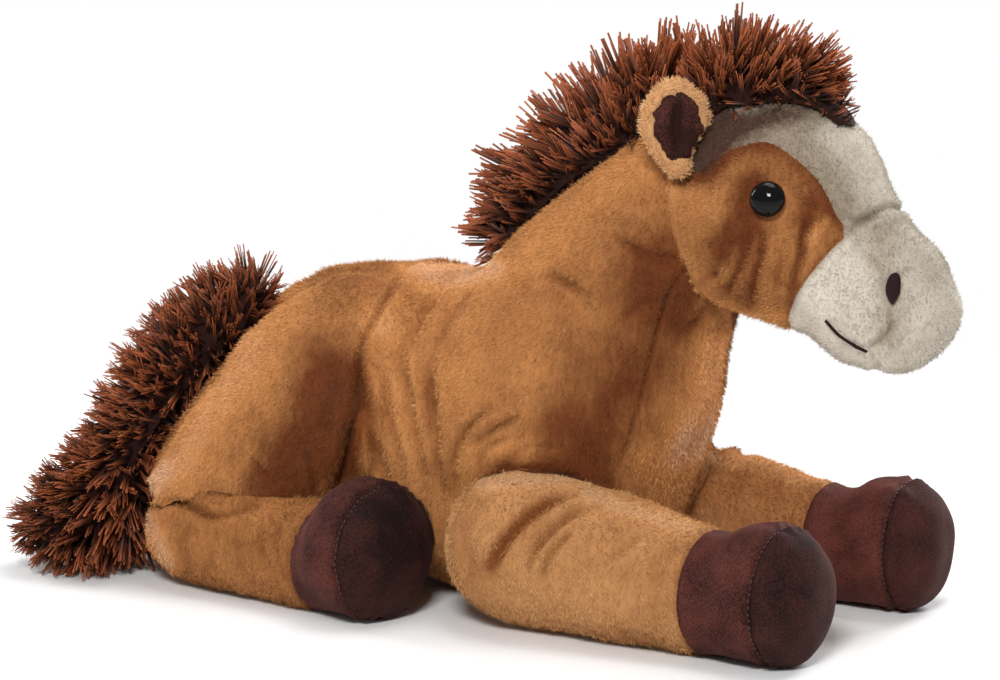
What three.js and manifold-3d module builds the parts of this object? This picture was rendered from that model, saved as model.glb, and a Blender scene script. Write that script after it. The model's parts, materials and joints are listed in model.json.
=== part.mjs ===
// A plush horse lying down: sewn covers over stuffing, with long-pile mane and tail.
// Millimetres. +X is the way the horse faces, +Y its left side and +Z up.
// The origin is on the floor, under the middle of the barrel, which rests there.
// Every stuffed section is one form. Its cover is the skin of that form, cut into panels
// along the seams, and its stuffing fills the inside. Limbs end in a round root that sits
// in a socket of the body, so that they can swing the way a sewn limb does.

import * as THREE from "three";
import { mergeVertices } from "three/addons/utils/BufferGeometryUtils.js";
import Module from "manifold-3d";

const wasm = await Module();
wasm.setup();

// Cloth, fits and the floor
const coverThickness = 3;
const seatFit = 0.3; // between pieces sewn or seated on each other
const fillFit = 0.6; // between a stuffing and its cover
const swingFit = 1; // between a limb and the socket it swings in
const pileFit = 2; // between the forelock and the mane, where the head turns
const restCut = 0.5; // how far a leg's round underside is flattened by the floor
const bellyCut = 1.5; // the same under the belly

// Body and neck
const bodyLength = 236; // rump station to poll station, along the floor
const backHeight = 170;
const bodyHalfWidth = 78;
const rumpRound = 44; // how far the rump rounds out behind its last station
const pollRound = 22;
const rumpSeamX = -34; // where the haunch panels end, at the floor
const rumpSeamLean = 10; // degrees that this seam leans forwards
const shoulderSeamX = 21; // where the shoulder panels start
const gussetHalfWidth = 37; // chest and belly strip between the shoulder panels

// Haunches, bulging out of the rump down to the hocks
const haunchLength = 83; // hip to hock, along the floor
const haunchHeight = 140;
const haunchSpread = 80; // hock's distance from the middle
const haunchHalfWidth = 38;
const haunchDepth = 60; // from the haunch's middle line to its front edge
const hockRound = 26;

// Hooves
const foreHoofRadius = 35;
const hindHoofRadius = 37;
const hoofWallLength = 36;
const hoofCrown = 15; // how far the sole bulges

// Forelegs
const forelegRootX = 56;
const forelegRootY = 64;
const forelegRootRadius = 41;
const forelegRadius = 34;
const forelegCollarRadius = 30;
const forelegLength = 119; // root's centre to the hoof's collar
const forelegOut = 2; // degrees that it points outwards
const forelegOpens = 20; // degrees of swing outwards
const forelegCloses = 8; // degrees of swing inwards

// Lower hind legs, folded forwards along the floor
const shankRootX = -138;
const shankRootY = 80;
const shankRootRadius = 30;
const shankRadius = 28.5;
const shankCollarRadius = 28;
const shankLength = 98;
const shankOut = 8; // degrees that it points outwards
const shankOpens = 25; // degrees of swing outwards

// Head, along a line from the back of the skull down to the nose
const headX = 166;
const headZ = 208;
const headLength = 64; // skull's centre to the muzzle's centre
const headPitch = 37; // degrees that the nose points down
const skullHalfWidth = 52;
const skullHalfHeight = 58;
const muzzleRadius = 38;
const skullRound = 20;
const noseRound = 15;
const muzzleSeam = 43; // from the skull's centre to the muzzle's seam
const blazeTopHalfWidth = 41;
const blazeLowHalfWidth = 31;
const blazeLength = 40; // how far behind the skull's centre the blaze starts
const headTurns = 20; // degrees each way
const neckLean = 58; // degrees that the axis the head turns on leans up from the floor

// Eyes, each a dome on a stem that a washer holds from inside
const eyeRadius = 9;
const eyeDomeHeight = 6;
const eyeFlangeThickness = 1.2;
const eyeStemRadius = 2;
const eyeStemRidge = 0.4; // how far its ridges stand out
const eyeStemLength = 15;
const eyeStemRidges = 3;
const eyeWasherRadius = 8;
const eyeWasherThickness = 1.6;
const eyeWasherDepth = 7.2; // how deep in the head it grips the stem
const eyeAlong = 7; // along the head line from the skull's centre
const eyeUp = 19;
const eyeTurn = 4; // degrees that it faces the nose

// Nostrils and mouth, embroidered on the muzzle
const nostrilHalfWidth = 3.8;
const nostrilHalfHeight = 7.5;
const nostrilThickness = 1.4;
const nostrilAlong = 77;
const nostrilUp = 21;
const mouthWidth = 1.8;
const mouthThickness = 1.4;
const mouthStart = 62; // along the head line from the skull's centre
const mouthLength = 24;
const mouthUp = -12;
const mouthSag = 2;

// Ears
const earHalfWidth = 21;
const earHalfHeight = 25;
const earDepth = 15;
const earWall = 4.5;
const earLining = 1.6;
const earRootRadius = 8;
const earTipRound = 7;
const earOpenShare = 0.62; // how far the hollow is moved out of the ear's front, of its depth
const earLiningShare = 0.3; // how far up the cup's side the lining reaches, of its depth
// Shares of twice earHalfHeight, earHalfWidth, then earDepth to the front and to the back.
const earShares = [
  [0, 0.42, 0.5, 0.5],
  [0.2, 0.74, 0.5, 0.72],
  [0.5, 1, 0.5, 0.86],
  [0.78, 0.84, 0.5, 0.72],
  [0.93, 0.5, 0.5, 0.5],
];
const earAlong = -41; // along the head line from the skull's centre
const earSide = 40;
const earUp = -6;
const earFaces = 50; // degrees that the opening turns outwards from the nose
const earLeans = 8; // degrees that the ear leans outwards
const earFoldsForward = 28;
const earFoldsBack = 8;

// Mane and forelock
const maneHalfWidth = 22;
const maneHeight = 35;
const maneRound = 14;
const forelockHeight = 28;
const forelockStart = 150; // degrees round the skull's centre, from straight ahead
const forelockEnd = 62;

// Tail
const tailRootX = -118;
const tailRootZ = 150;
const tailRootRadius = 15;
const tailReach = 142; // dock to tip, along the floor
const tailSwept = 42; // degrees that it is swept to the right at rest
const tailHalfWidth = 38;
const tailHalfDepth = 31;
const tailTipRound = 26;
const tailSwings = 30; // degrees that it swings back towards the middle

// Cloth colours
const tan = { color: 0xc48a4e, roughness: 0.95 };
const tanLight = { color: 0xc99a66, roughness: 0.95 };
const white = { color: 0xe6e2da, roughness: 0.95 };
const darkBrown = { color: 0x4a2622, roughness: 0.9 };
const longPile = { color: 0x5a2a1a, roughness: 0.8 };
const fibreFill = { color: 0xf4f3ef, roughness: 1 };
const blackPlastic = { color: 0x0b0909, roughness: 0.12 };
const clearPlastic = { color: 0xd8d8d2, roughness: 0.4 };
const blackThread = { color: 0x171010, roughness: 0.7 };

const forward = new THREE.Vector3(1, 0, 0);
const leftward = new THREE.Vector3(0, 1, 0);
const upward = new THREE.Vector3(0, 0, 1);
const radians = THREE.MathUtils.degToRad;
const right = -1;
const left = 1;
const sides = [
  ["right", right],
  ["left", left],
];
const farAway = 4 * backHeight; // a cutting block's size, larger than the horse
const innerShare = 0.5; // sides inside a cover, of those outside it
const ballSides = 12;
const ballRings = 8;
const weld = 0.002; // corners this close to each other are one corner

// A closed three.js geometry, placed by a matrix, as a solid that can be joined and cut.
function solid(geometry, matrix = new THREE.Matrix4()) {
  const placed = geometry.clone();
  placed.deleteAttribute("normal");
  placed.deleteAttribute("uv");
  placed.applyMatrix4(matrix);
  const merged = mergeVertices(placed, weld);
  const triangles = new Uint32Array(merged.index.array);
  if (matrix.determinant() < 0) triangles.reverse();
  return new wasm.Manifold(
    new wasm.Mesh({
      numProp: 3,
      vertProperties: new Float32Array(merged.attributes.position.array),
      triVerts: triangles,
    }),
  );
}

// A solid's skin as a three.js geometry.
function skinOf(made) {
  const mesh = made.getMesh();
  const places = [];
  for (let i = 0; i < mesh.vertProperties.length; i += mesh.numProp)
    places.push(...mesh.vertProperties.slice(i, i + 3));
  const geometry = new THREE.BufferGeometry();
  geometry.setAttribute("position", new THREE.Float32BufferAttribute(places, 3));
  geometry.setIndex([...mesh.triVerts]);
  return geometry;
}

function joinAll(solids) {
  return solids.reduce((a, b) => a.add(b));
}

// Keeps the main body of a cut and leaves its offcuts.
function mainBody(cut) {
  return cut.decompose().reduce((a, b) => (b.volume() > a.volume() ? b : a));
}

const horse = new THREE.Group();

// Adds a solid to the horse as one named piece with its material.
function addPiece(name, made, look) {
  const welded = mainBody(solid(skinOf(mainBody(made))));
  const geometry = skinOf(welded);
  geometry.computeVertexNormals();
  const piece = new THREE.Mesh(geometry, new THREE.MeshStandardMaterial({ metalness: 0, ...look }));
  piece.name = name;
  horse.add(piece);
}

// A matrix that puts local X, Y and Z along three directions, at a place.
function placed(xWay, yWay, zWay, place) {
  return new THREE.Matrix4().makeBasis(xWay, yWay, zWay).setPosition(place);
}

// A turn about an axis through a place.
function turned(place, axis, degrees) {
  return new THREE.Matrix4()
    .makeTranslation(place.x, place.y, place.z)
    .multiply(new THREE.Matrix4().makeRotationAxis(axis, radians(degrees)))
    .multiply(new THREE.Matrix4().makeTranslation(-place.x, -place.y, -place.z));
}

// A ball at a place.
function ballAt(place, radius) {
  return new THREE.SphereGeometry(radius, ballSides, ballRings).translate(place.x, place.y, place.z);
}

// The part of a solid that lies on the side of a plane that the way points to.
function sliceOf(made, place, way) {
  const block = new THREE.BoxGeometry(farAway, farAway, farAway);
  const middle = place.clone().addScaledVector(way, farAway / 2);
  const across = Math.abs(way.z) > Math.abs(way.x) ? forward : upward;
  const side = new THREE.Vector3().crossVectors(across, way).normalize();
  const over = new THREE.Vector3().crossVectors(way, side);
  return made.intersect(solid(block, placed(way, side, over, middle)));
}

function aboveFloor(made) {
  return sliceOf(made, new THREE.Vector3(), upward);
}

// A stuffed form: a closed skin over rings that follow a curve through its stations.
// A station has a place and three radii: to the side, up and down. Both ends are domes.
// The rings stand square to the curve, or to the way that each station gives.
class StuffedForm {
  constructor({ stations, overhead, startRound, endRound, rings, sides, squareness = 2 }) {
    Object.assign(this, { overhead, startRound, endRound, rings, sides, squareness });
    if (stations[0].way) this.ways = new THREE.CatmullRomCurve3(stations.map((s) => s.way));
    this.curve = new THREE.CatmullRomCurve3(stations.map((s) => s.place));
    this.radii = new THREE.CatmullRomCurve3(
      stations.map((s) => new THREE.Vector3(s.side, s.up, s.down)),
    );
  }

  // The ring at a share of the way along, moved along and shrunk where it is part of a dome.
  frameAt(share) {
    const along = this.ways ? this.ways.getPoint(share).normalize() : this.curve.getTangent(share);
    const side = new THREE.Vector3().crossVectors(this.overhead, along).normalize();
    const up = new THREE.Vector3().crossVectors(along, side);
    return { middle: this.curve.getPoint(share), radii: this.radii.getPoint(share), along, side, up };
  }

  ringAt(share, grow, shift, scale, sides) {
    const { middle, radii, along, side, up } = this.frameAt(share);
    const rounding = 2 / this.squareness;
    const centre = middle.addScaledVector(along, shift);
    return Array.from({ length: sides }, (_, i) => {
      const angle = (2 * Math.PI * i) / sides;
      const c = Math.cos(angle);
      const s = Math.sin(angle);
      const high = (s > 0 ? radii.y : radii.z) + grow;
      return centre
        .clone()
        .addScaledVector(side, Math.sign(c) * Math.abs(c) ** rounding * (radii.x + grow) * scale)
        .addScaledVector(up, Math.sign(s) * Math.abs(s) ** rounding * high * scale);
    });
  }

  // A place on the skin at a share of the way along, at an angle from the side up to the top.
  skinAt(share, degrees) {
    const { middle, radii, side, up } = this.frameAt(share);
    const angle = radians(degrees);
    const high = Math.sin(angle) > 0 ? radii.y : radii.z;
    return middle
      .addScaledVector(side, Math.cos(angle) * radii.x)
      .addScaledVector(up, Math.sin(angle) * high);
  }

  // The skin as a geometry, grown or shrunk all round, with a share of the sides, up to a
  // share of the way along.
  geometry(grow = 0, fineness = 1, until = 1) {
    const sides = Math.round(this.sides * fineness);
    const { rings } = this;
    const lastRing = Math.round(rings * until);
    const lastShare = lastRing / rings;
    const domeRings = 2;
    const loops = [];
    const dome = (share, round, way) => {
      for (let i = 1; i <= domeRings; i++) {
        const angle = ((Math.PI / 2) * (way > 0 ? domeRings + 1 - i : i)) / (domeRings + 1);
        loops.push(
          this.ringAt(share, grow, way * (round + grow) * Math.cos(angle), Math.sin(angle), sides),
        );
      }
    };
    dome(0, this.startRound, -1);
    for (let i = 0; i <= lastRing; i++) loops.push(this.ringAt(i / rings, grow, 0, 1, sides));
    dome(lastShare, this.endRound, 1);
    const start = this.frameAt(0);
    const end = this.frameAt(lastShare);
    const tips = [
      start.middle.addScaledVector(start.along, -(this.startRound + grow)),
      end.middle.addScaledVector(end.along, this.endRound + grow),
    ];
    return closedSkin(loops, tips[0], tips[1]);
  }

  solid(grow = 0, fineness = 1) {
    return solid(this.geometry(grow, fineness));
  }

  // The form, grown, in every place that swings take it through, the innermost swing first.
  // Only a share of the way along is swept where the rest stays clear.
  swept(swings, grow, fineness, until = 1) {
    const shape = this.geometry(grow, fineness, until);
    let places = [new THREE.Matrix4()];
    for (const { place, axis, from, to, steps } of swings) {
      const stops = Math.ceil(steps * fineness);
      places = Array.from({ length: stops + 1 }, (_, i) =>
        turned(place, axis, from + ((to - from) * i) / stops),
      ).flatMap((turn) => places.map((inner) => turn.clone().multiply(inner)));
    }
    return joinAll(places.map((place) => solid(shape, place)));
  }
}

// Triangles over a row of loops, closed by a tip at each end.
function closedSkin(loops, startTip, endTip) {
  const sides = loops[0].length;
  const points = [startTip, ...loops.flat(), endTip];
  const last = points.length - 1;
  const at = (ring, i) => 1 + ring * sides + (i % sides);
  const triangles = [];
  for (let i = 0; i < sides; i++) {
    triangles.push(0, at(0, i + 1), at(0, i));
    triangles.push(last, at(loops.length - 1, i), at(loops.length - 1, i + 1));
    for (let ring = 0; ring + 1 < loops.length; ring++) {
      triangles.push(at(ring, i), at(ring, i + 1), at(ring + 1, i + 1));
      triangles.push(at(ring, i), at(ring + 1, i + 1), at(ring + 1, i));
    }
  }
  const geometry = new THREE.BufferGeometry().setFromPoints(points);
  geometry.setIndex(triangles);
  return geometry;
}

// Body and neck: one form that runs level from the rump to the chest and then up the neck.
// Each station is a section with its top and its bottom in the middle of the horse.
// Shares: top along and up, bottom along and up, of bodyLength and backHeight, then side.
const bodyShares = [
  [-0.45, 0.98, -0.45, 0.14, 0.72],
  [-0.31, 1, -0.31, 0.07, 0.88],
  [-0.16, 1, -0.16, 0.05, 0.9],
  [-0.04, 1.005, -0.04, 0, 0.92],
  [0.05, 1.08, 0.2, 0, 0.98],
  [0.152, 1.22, 0.38, 0.15, 0.97],
  [0.254, 1.335, 0.49, 0.38, 0.8],
  [0.356, 1.42, 0.553, 0.605, 0.67],
  [0.45, 1.5, 0.572, 0.82, 0.59],
  [0.525, 1.54, 0.59, 0.94, 0.54],
];
const girthShare = 0.48; // how high a section is widest, of its height
const bodyStations = bodyShares.map(([topX, topZ, bottomX, bottomZ, side]) => {
  const top = new THREE.Vector3(topX * bodyLength, 0, topZ * backHeight);
  const bottom = new THREE.Vector3(bottomX * bodyLength, 0, bottomZ * backHeight - bellyCut);
  const rise = top.clone().sub(bottom);
  return {
    place: bottom.clone().addScaledVector(rise, girthShare),
    way: new THREE.Vector3().crossVectors(leftward, rise).normalize(),
    side: side * bodyHalfWidth,
    up: (1 - girthShare) * rise.length(),
    down: girthShare * rise.length(),
  };
});
const body = new StuffedForm({
  stations: bodyStations,
  overhead: upward,
  startRound: rumpRound,
  endRound: pollRound,
  rings: 13,
  sides: 18,
  squareness: 2.2,
});

// Haunches. Shares are of haunchLength, haunchSpread, haunchHeight, haunchHalfWidth and
// haunchDepth: along, out, up, side, rear radius, front radius.
const haunchShares = [
  [0, 0.46, 0.98, 0.9, 0.66, 0.72],
  [0.16, 0.64, 0.84, 1, 0.8, 0.95],
  [0.43, 0.78, 0.67, 1, 0.78, 1],
  [0.76, 0.9, 0.49, 0.92, 0.66, 0.8],
  [1, 1, 0.36, 0.8, 0.5, 0.62],
];
const hipShare = 0.25; // the hip's distance behind the origin, of bodyLength
function haunchForm(hand) {
  return new StuffedForm({
    stations: haunchShares.map(([along, out, high, side, up, down]) => ({
      place: new THREE.Vector3(
        -hipShare * bodyLength - along * haunchLength,
        hand * out * haunchSpread,
        high * haunchHeight,
      ),
      side: side * haunchHalfWidth,
      up: up * haunchDepth,
      down: down * haunchDepth,
    })),
    overhead: forward.clone().negate(),
    startRound: hockRound,
    endRound: hockRound,
    rings: 6,
    sides: 12,
  });
}
const haunches = [haunchForm(right), haunchForm(left)];

// A leg that lies along the floor from its round root to its hoof. Stations after the
// collar are the hoof's: its coronet, its widest girth and its sole seam.
const coronetShare = 0.25;
const hoofGirthShare = 0.6;
const coronetRadiusShare = 0.75; // of the way from the collar's radius to the hoof's
const soleRadiusShare = 0.95; // of the hoof's radius
const legShares = [
  [0, 0],
  [0.33, 0.5],
  [0.67, 1],
]; // along its length, and of the way from its root's radius to its own
function legForm({ rootX, rootY, rootRadius, radius, collarRadius, hoofRadius, length, out, hand }) {
  const way = new THREE.Vector3(Math.cos(radians(out)), hand * Math.sin(radians(out)), 0);
  const station = (distance, r) => ({
    place: new THREE.Vector3(rootX, hand * rootY, r - restCut).addScaledVector(way, distance),
    way,
    side: r,
    up: r,
    down: r,
  });
  const stations = [
    ...legShares.map(([along, taper]) =>
      station(along * length, rootRadius + taper * (radius - rootRadius)),
    ),
    station(length, collarRadius),
    station(
      length + coronetShare * hoofWallLength,
      collarRadius + coronetRadiusShare * (hoofRadius - collarRadius),
    ),
    station(length + hoofGirthShare * hoofWallLength, hoofRadius),
    station(length + hoofWallLength, soleRadiusShare * hoofRadius),
  ];
  const form = new StuffedForm({
    stations,
    overhead: upward,
    startRound: rootRadius,
    endRound: hoofCrown,
    rings: 10,
    sides: 12,
  });
  const at = (distance) =>
    new THREE.Vector3(rootX, hand * rootY, 0).addScaledVector(way, distance);
  return { form, way, root: at(0), collar: at(length), soleSeam: at(length + hoofWallLength) };
}
function foreleg(hand) {
  return legForm({
    rootX: forelegRootX,
    rootY: forelegRootY,
    rootRadius: forelegRootRadius,
    radius: forelegRadius,
    collarRadius: forelegCollarRadius,
    hoofRadius: foreHoofRadius,
    length: forelegLength,
    out: forelegOut,
    hand,
  });
}
function shank(hand) {
  return legForm({
    rootX: shankRootX,
    rootY: shankRootY,
    rootRadius: shankRootRadius,
    radius: shankRadius,
    collarRadius: shankCollarRadius,
    hoofRadius: hindHoofRadius,
    length: shankLength,
    out: shankOut,
    hand,
  });
}

// Head. Along the head line x grows towards the nose, y to the left and z to the forehead.
const headCentre = new THREE.Vector3(headX, 0, headZ);
const noseWay = new THREE.Vector3(Math.cos(radians(headPitch)), 0, -Math.sin(radians(headPitch)));
const browWay = new THREE.Vector3().crossVectors(noseWay, leftward);
const headFrame = placed(noseWay, leftward, browWay, headCentre);
function onHead(along, side, up) {
  return new THREE.Vector3(along, side, up).applyMatrix4(headFrame);
}
// Shares: along of headLength, then side, up and down radii of the skull's half sizes.
const skullShares = [
  [-0.6, 0.74, 0.74, 0.82],
  [-0.2, 1, 1.02, 0.99],
  [0.19, 1, 0.95, 0.92],
  [0.53, 0.88, 0.77, 0.75],
];
// Shares of headLength and muzzleRadius.
const muzzleShares = [
  [0.82, 1.04, 1, 0.95],
  [1.12, 1.05, 0.99, 0.92],
  [1.4, 0.83, 0.73, 0.68],
];
const head = new StuffedForm({
  stations: [
    ...skullShares.map(([along, side, up, down]) => ({
      place: onHead(along * headLength, 0, 0),
      side: side * skullHalfWidth,
      up: up * skullHalfHeight,
      down: down * skullHalfHeight,
    })),
    ...muzzleShares.map(([along, side, up, down]) => ({
      place: onHead(along * headLength, 0, 0),
      side: side * muzzleRadius,
      up: up * muzzleRadius,
      down: down * muzzleRadius,
    })),
  ],
  overhead: upward,
  startRound: skullRound,
  endRound: noseRound,
  rings: 12,
  sides: 16,
});
const headAxis = new THREE.Vector3(Math.cos(radians(neckLean)), 0, Math.sin(radians(neckLean)));

// Eyes: a dome with a flange on the cheek, a ridged stem and the washer that grips it.
// Profiles turn about the eye's axis: radii, and heights over the cheek.
const eyeSides = 12;
const eyeDomeSteps = 4;
const eyeSide = skullHalfWidth * Math.sqrt(1 - (eyeUp / skullHalfHeight) ** 2);
function eyeFrame(hand) {
  const out = new THREE.Vector3(
    Math.sin(radians(eyeTurn)),
    (hand * eyeSide) / skullHalfWidth,
    eyeUp / skullHalfHeight,
  );
  out.transformDirection(headFrame);
  const along = new THREE.Vector3().crossVectors(out, browWay).normalize();
  const over = new THREE.Vector3().crossVectors(along, out);
  return placed(along, out, over, onHead(eyeAlong, hand * eyeSide, eyeUp));
}
function eyeTurned(profile, hand) {
  const lathe = new THREE.LatheGeometry(
    profile.map(([r, height]) => new THREE.Vector2(r, height)),
    eyeSides,
  );
  return solid(lathe, eyeFrame(hand));
}
const ridgePitch = (eyeStemLength - eyeWasherDepth) / eyeStemRidges;
const ridges = Array.from({ length: eyeStemRidges }, (_, i) => {
  const low = -eyeStemLength + i * ridgePitch;
  return [
    [eyeStemRadius, low],
    [eyeStemRadius + eyeStemRidge, low + ridgePitch / 2],
  ];
}).flat();
const domeBase = seatFit + eyeFlangeThickness;
const dome = Array.from({ length: eyeDomeSteps }, (_, i) => {
  const angle = (Math.PI / 2) * (i / eyeDomeSteps);
  return [eyeRadius * Math.cos(angle), domeBase + eyeDomeHeight * Math.sin(angle)];
});
const eyeProfile = [
  [0, -eyeStemLength],
  ...ridges,
  [eyeStemRadius, seatFit],
  [eyeRadius, seatFit],
  ...dome,
  [0, domeBase + eyeDomeHeight],
];
const stemHole = eyeStemRadius + eyeStemRidge + seatFit;
const washerLow = -eyeWasherDepth - eyeWasherThickness;
const eyeWasherProfile = [
  [stemHole, washerLow],
  [eyeWasherRadius, washerLow],
  [eyeWasherRadius, -eyeWasherDepth],
  [stemHole, -eyeWasherDepth],
  [stemHole, washerLow],
];
const eyeHoleProfile = [
  [0, -eyeStemLength],
  [stemHole, -eyeStemLength],
  [stemHole, eyeDomeHeight],
  [0, eyeDomeHeight],
];
const eyePocketProfile = [
  [0, -eyeStemLength - seatFit],
  [stemHole, -eyeStemLength - seatFit],
  [stemHole, washerLow - seatFit],
  [eyeWasherRadius + seatFit, washerLow - seatFit],
  [eyeWasherRadius + seatFit, eyeDomeHeight],
  [0, eyeDomeHeight],
];

// Embroidery: outlines on the side of the head, along and up, that are raised from it.
function sewnOn(outline, thickness, hand) {
  const block = new THREE.ExtrudeGeometry(outline, { depth: farAway, bevelEnabled: false });
  const sideWay = leftward.clone().multiplyScalar(hand);
  const across = solid(block, placed(noseWay, browWay, sideWay, headCentre));
  return head.solid(seatFit + thickness).intersect(across).subtract(head.solid(seatFit));
}
const nostrilOutline = new THREE.Shape();
nostrilOutline.absellipse(
  nostrilAlong,
  nostrilUp,
  nostrilHalfWidth,
  nostrilHalfHeight,
  0,
  2 * Math.PI,
  false,
  radians(headPitch),
);
const mouthOutline = new THREE.Shape();
const mouthMiddle = mouthStart + mouthLength / 2;
mouthOutline.moveTo(mouthStart, mouthUp);
mouthOutline.quadraticCurveTo(mouthMiddle, mouthUp - mouthSag, mouthStart + mouthLength, mouthUp);
mouthOutline.lineTo(mouthStart + mouthLength, mouthUp + mouthWidth);
mouthOutline.quadraticCurveTo(
  mouthMiddle,
  mouthUp + mouthWidth - mouthSag,
  mouthStart,
  mouthUp + mouthWidth,
);
mouthOutline.closePath();

// Forelock: long pile that follows the skull over the poll, down to the forehead.
// Shares of the way from its start to its end, then of maneHalfWidth and forelockHeight.
const forelockShares = [
  [0, 0.8, 0.9],
  [0.28, 1, 1.28],
  [0.55, 1, 1.1],
  [0.8, 0.9, 0.7],
  [1, 0.7, 0.4],
];
const forelock = new StuffedForm({
  stations: forelockShares.map(([share, side, high]) => {
    const angle = radians(forelockStart + share * (forelockEnd - forelockStart));
    const outwards = new THREE.Vector3(Math.cos(angle), 0, Math.sin(angle));
    return {
      place: headCentre.clone().addScaledVector(outwards, skullHalfHeight),
      side: side * maneHalfWidth,
      up: high * forelockHeight,
      down: maneRound,
    };
  }),
  overhead: upward,
  startRound: maneRound,
  endRound: maneRound,
  rings: 7,
  sides: 12,
});

// Ears: a cup on a short round root, hollow towards the side it faces.
function earAt(hand) {
  const up = new THREE.Vector3(0, hand * Math.sin(radians(earLeans)), Math.cos(radians(earLeans)));
  const faces = forward.clone().applyAxisAngle(upward, hand * radians(earFaces));
  const across = new THREE.Vector3().crossVectors(up, faces).normalize();
  const face = new THREE.Vector3().crossVectors(across, up);
  const root = onHead(earAlong, hand * earSide, earUp);
  const form = (wall, forwards, from) =>
    new StuffedForm({
      stations: earShares.slice(from).map(([high, side, front, back]) => ({
        place: root
          .clone()
          .addScaledVector(up, high * 2 * earHalfHeight)
          .addScaledVector(face, forwards),
        side: side * earHalfWidth - wall,
        up: front * earDepth - wall,
        down: back * earDepth - wall,
      })),
      overhead: face,
      startRound: earRootRadius - wall,
      endRound: earTipRound - wall,
      rings: 4,
      sides: 10,
    });
  const open = earDepth * earOpenShare;
  return {
    root,
    across,
    cup: form(0, 0, 0),
    hollow: form(earWall, open, 1),
    lining: form(earWall + seatFit, open, 1),
    inLining: form(earWall + earLining, open + earLining, 1),
    rimPlace: root.clone().addScaledVector(face, earDepth * earLiningShare),
    face,
  };
}

// Mane: long pile that follows the crest of the neck from the withers to the poll.
// Shares of the body's length, of maneHalfWidth and of maneHeight.
const maneShares = [
  [0.43, 0.75, 0.7],
  [0.53, 1, 1],
  [0.63, 1, 1],
  [0.73, 1, 1],
  [0.83, 1, 1],
  [0.93, 1, 1],
];
const straightUp = 90; // degrees round a form from its side to its top
const mane = new StuffedForm({
  stations: maneShares.map(([share, side, high]) => ({
    place: body.skinAt(share, straightUp),
    side: side * maneHalfWidth,
    up: high * maneHeight,
    down: maneRound,
  })),
  overhead: upward,
  startRound: maneRound,
  endRound: maneRound,
  rings: 8,
  sides: 12,
});

// Tail: long pile from the dock down behind the right haunch to the floor.
// Shares: along of tailReach, up of tailRootZ, then side and up-and-down radii.
const tailShares = [
  [0, 1, 0.4, 0.46],
  [0.2, 1, 0.7, 0.75],
  [0.42, 0.86, 1, 1],
  [0.6, 0.6, 1, 1],
  [0.76, 0.35, 1, 0.95],
  [1, 0.17, 0.85, 0.75],
];
const tailWay = new THREE.Vector3(-Math.cos(radians(tailSwept)), -Math.sin(radians(tailSwept)), 0);
const dock = new THREE.Vector3(tailRootX, 0, tailRootZ);
const tail = new StuffedForm({
  stations: tailShares.map(([along, high, side, thick]) => ({
    place: new THREE.Vector3(tailRootX, 0, high * tailRootZ).addScaledVector(
      tailWay,
      along * tailReach,
    ),
    side: side * tailHalfWidth,
    up: thick * tailHalfDepth,
    down: thick * tailHalfDepth,
  })),
  overhead: upward,
  startRound: tailRootRadius,
  endRound: tailTipRound,
  rings: 9,
  sides: 12,
});

// What the moving limbs sweep through, which the body stays clear of. Only the share of a
// head, foreleg or ear that lies near the body is swept.
const nearShare = 0.6;
const earNearShare = 0.75;
const forelegs = { [right]: foreleg(right), [left]: foreleg(left) };
const shanks = { [right]: shank(right), [left]: shank(left) };
const headSwing = { place: headCentre, axis: headAxis, from: -headTurns, to: headTurns, steps: 2 };
const hairSwing = { ...headSwing, steps: 6 };
const earSwing = { ...headSwing, steps: 6 };
function earFold(ear) {
  return { place: ear.root, axis: ear.across, from: -earFoldsBack, to: earFoldsForward, steps: 3 };
}
function forelegSwing(leg, hand) {
  const range = { from: -hand * forelegCloses, to: hand * forelegOpens };
  return { place: leg.root, axis: upward, ...range, steps: 2 };
}
function shankSwing(leg, hand) {
  return { place: leg.root, axis: upward, from: 0, to: hand * shankOpens, steps: 4 };
}
const limbSwings = [[head, [headSwing], nearShare]];
for (const hand of [right, left]) {
  const ear = earAt(hand);
  limbSwings.push([ear.cup, [earFold(ear), earSwing], earNearShare]);
  limbSwings.push([forelegs[hand].form, [forelegSwing(forelegs[hand], hand)], nearShare]);
  limbSwings.push([shanks[hand].form, [shankSwing(shanks[hand], hand)]]);
}
function sweptByLimbs(grow, fineness) {
  return joinAll(limbSwings.map(([form, swings, until]) => form.swept(swings, grow, fineness, until)));
}

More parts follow.
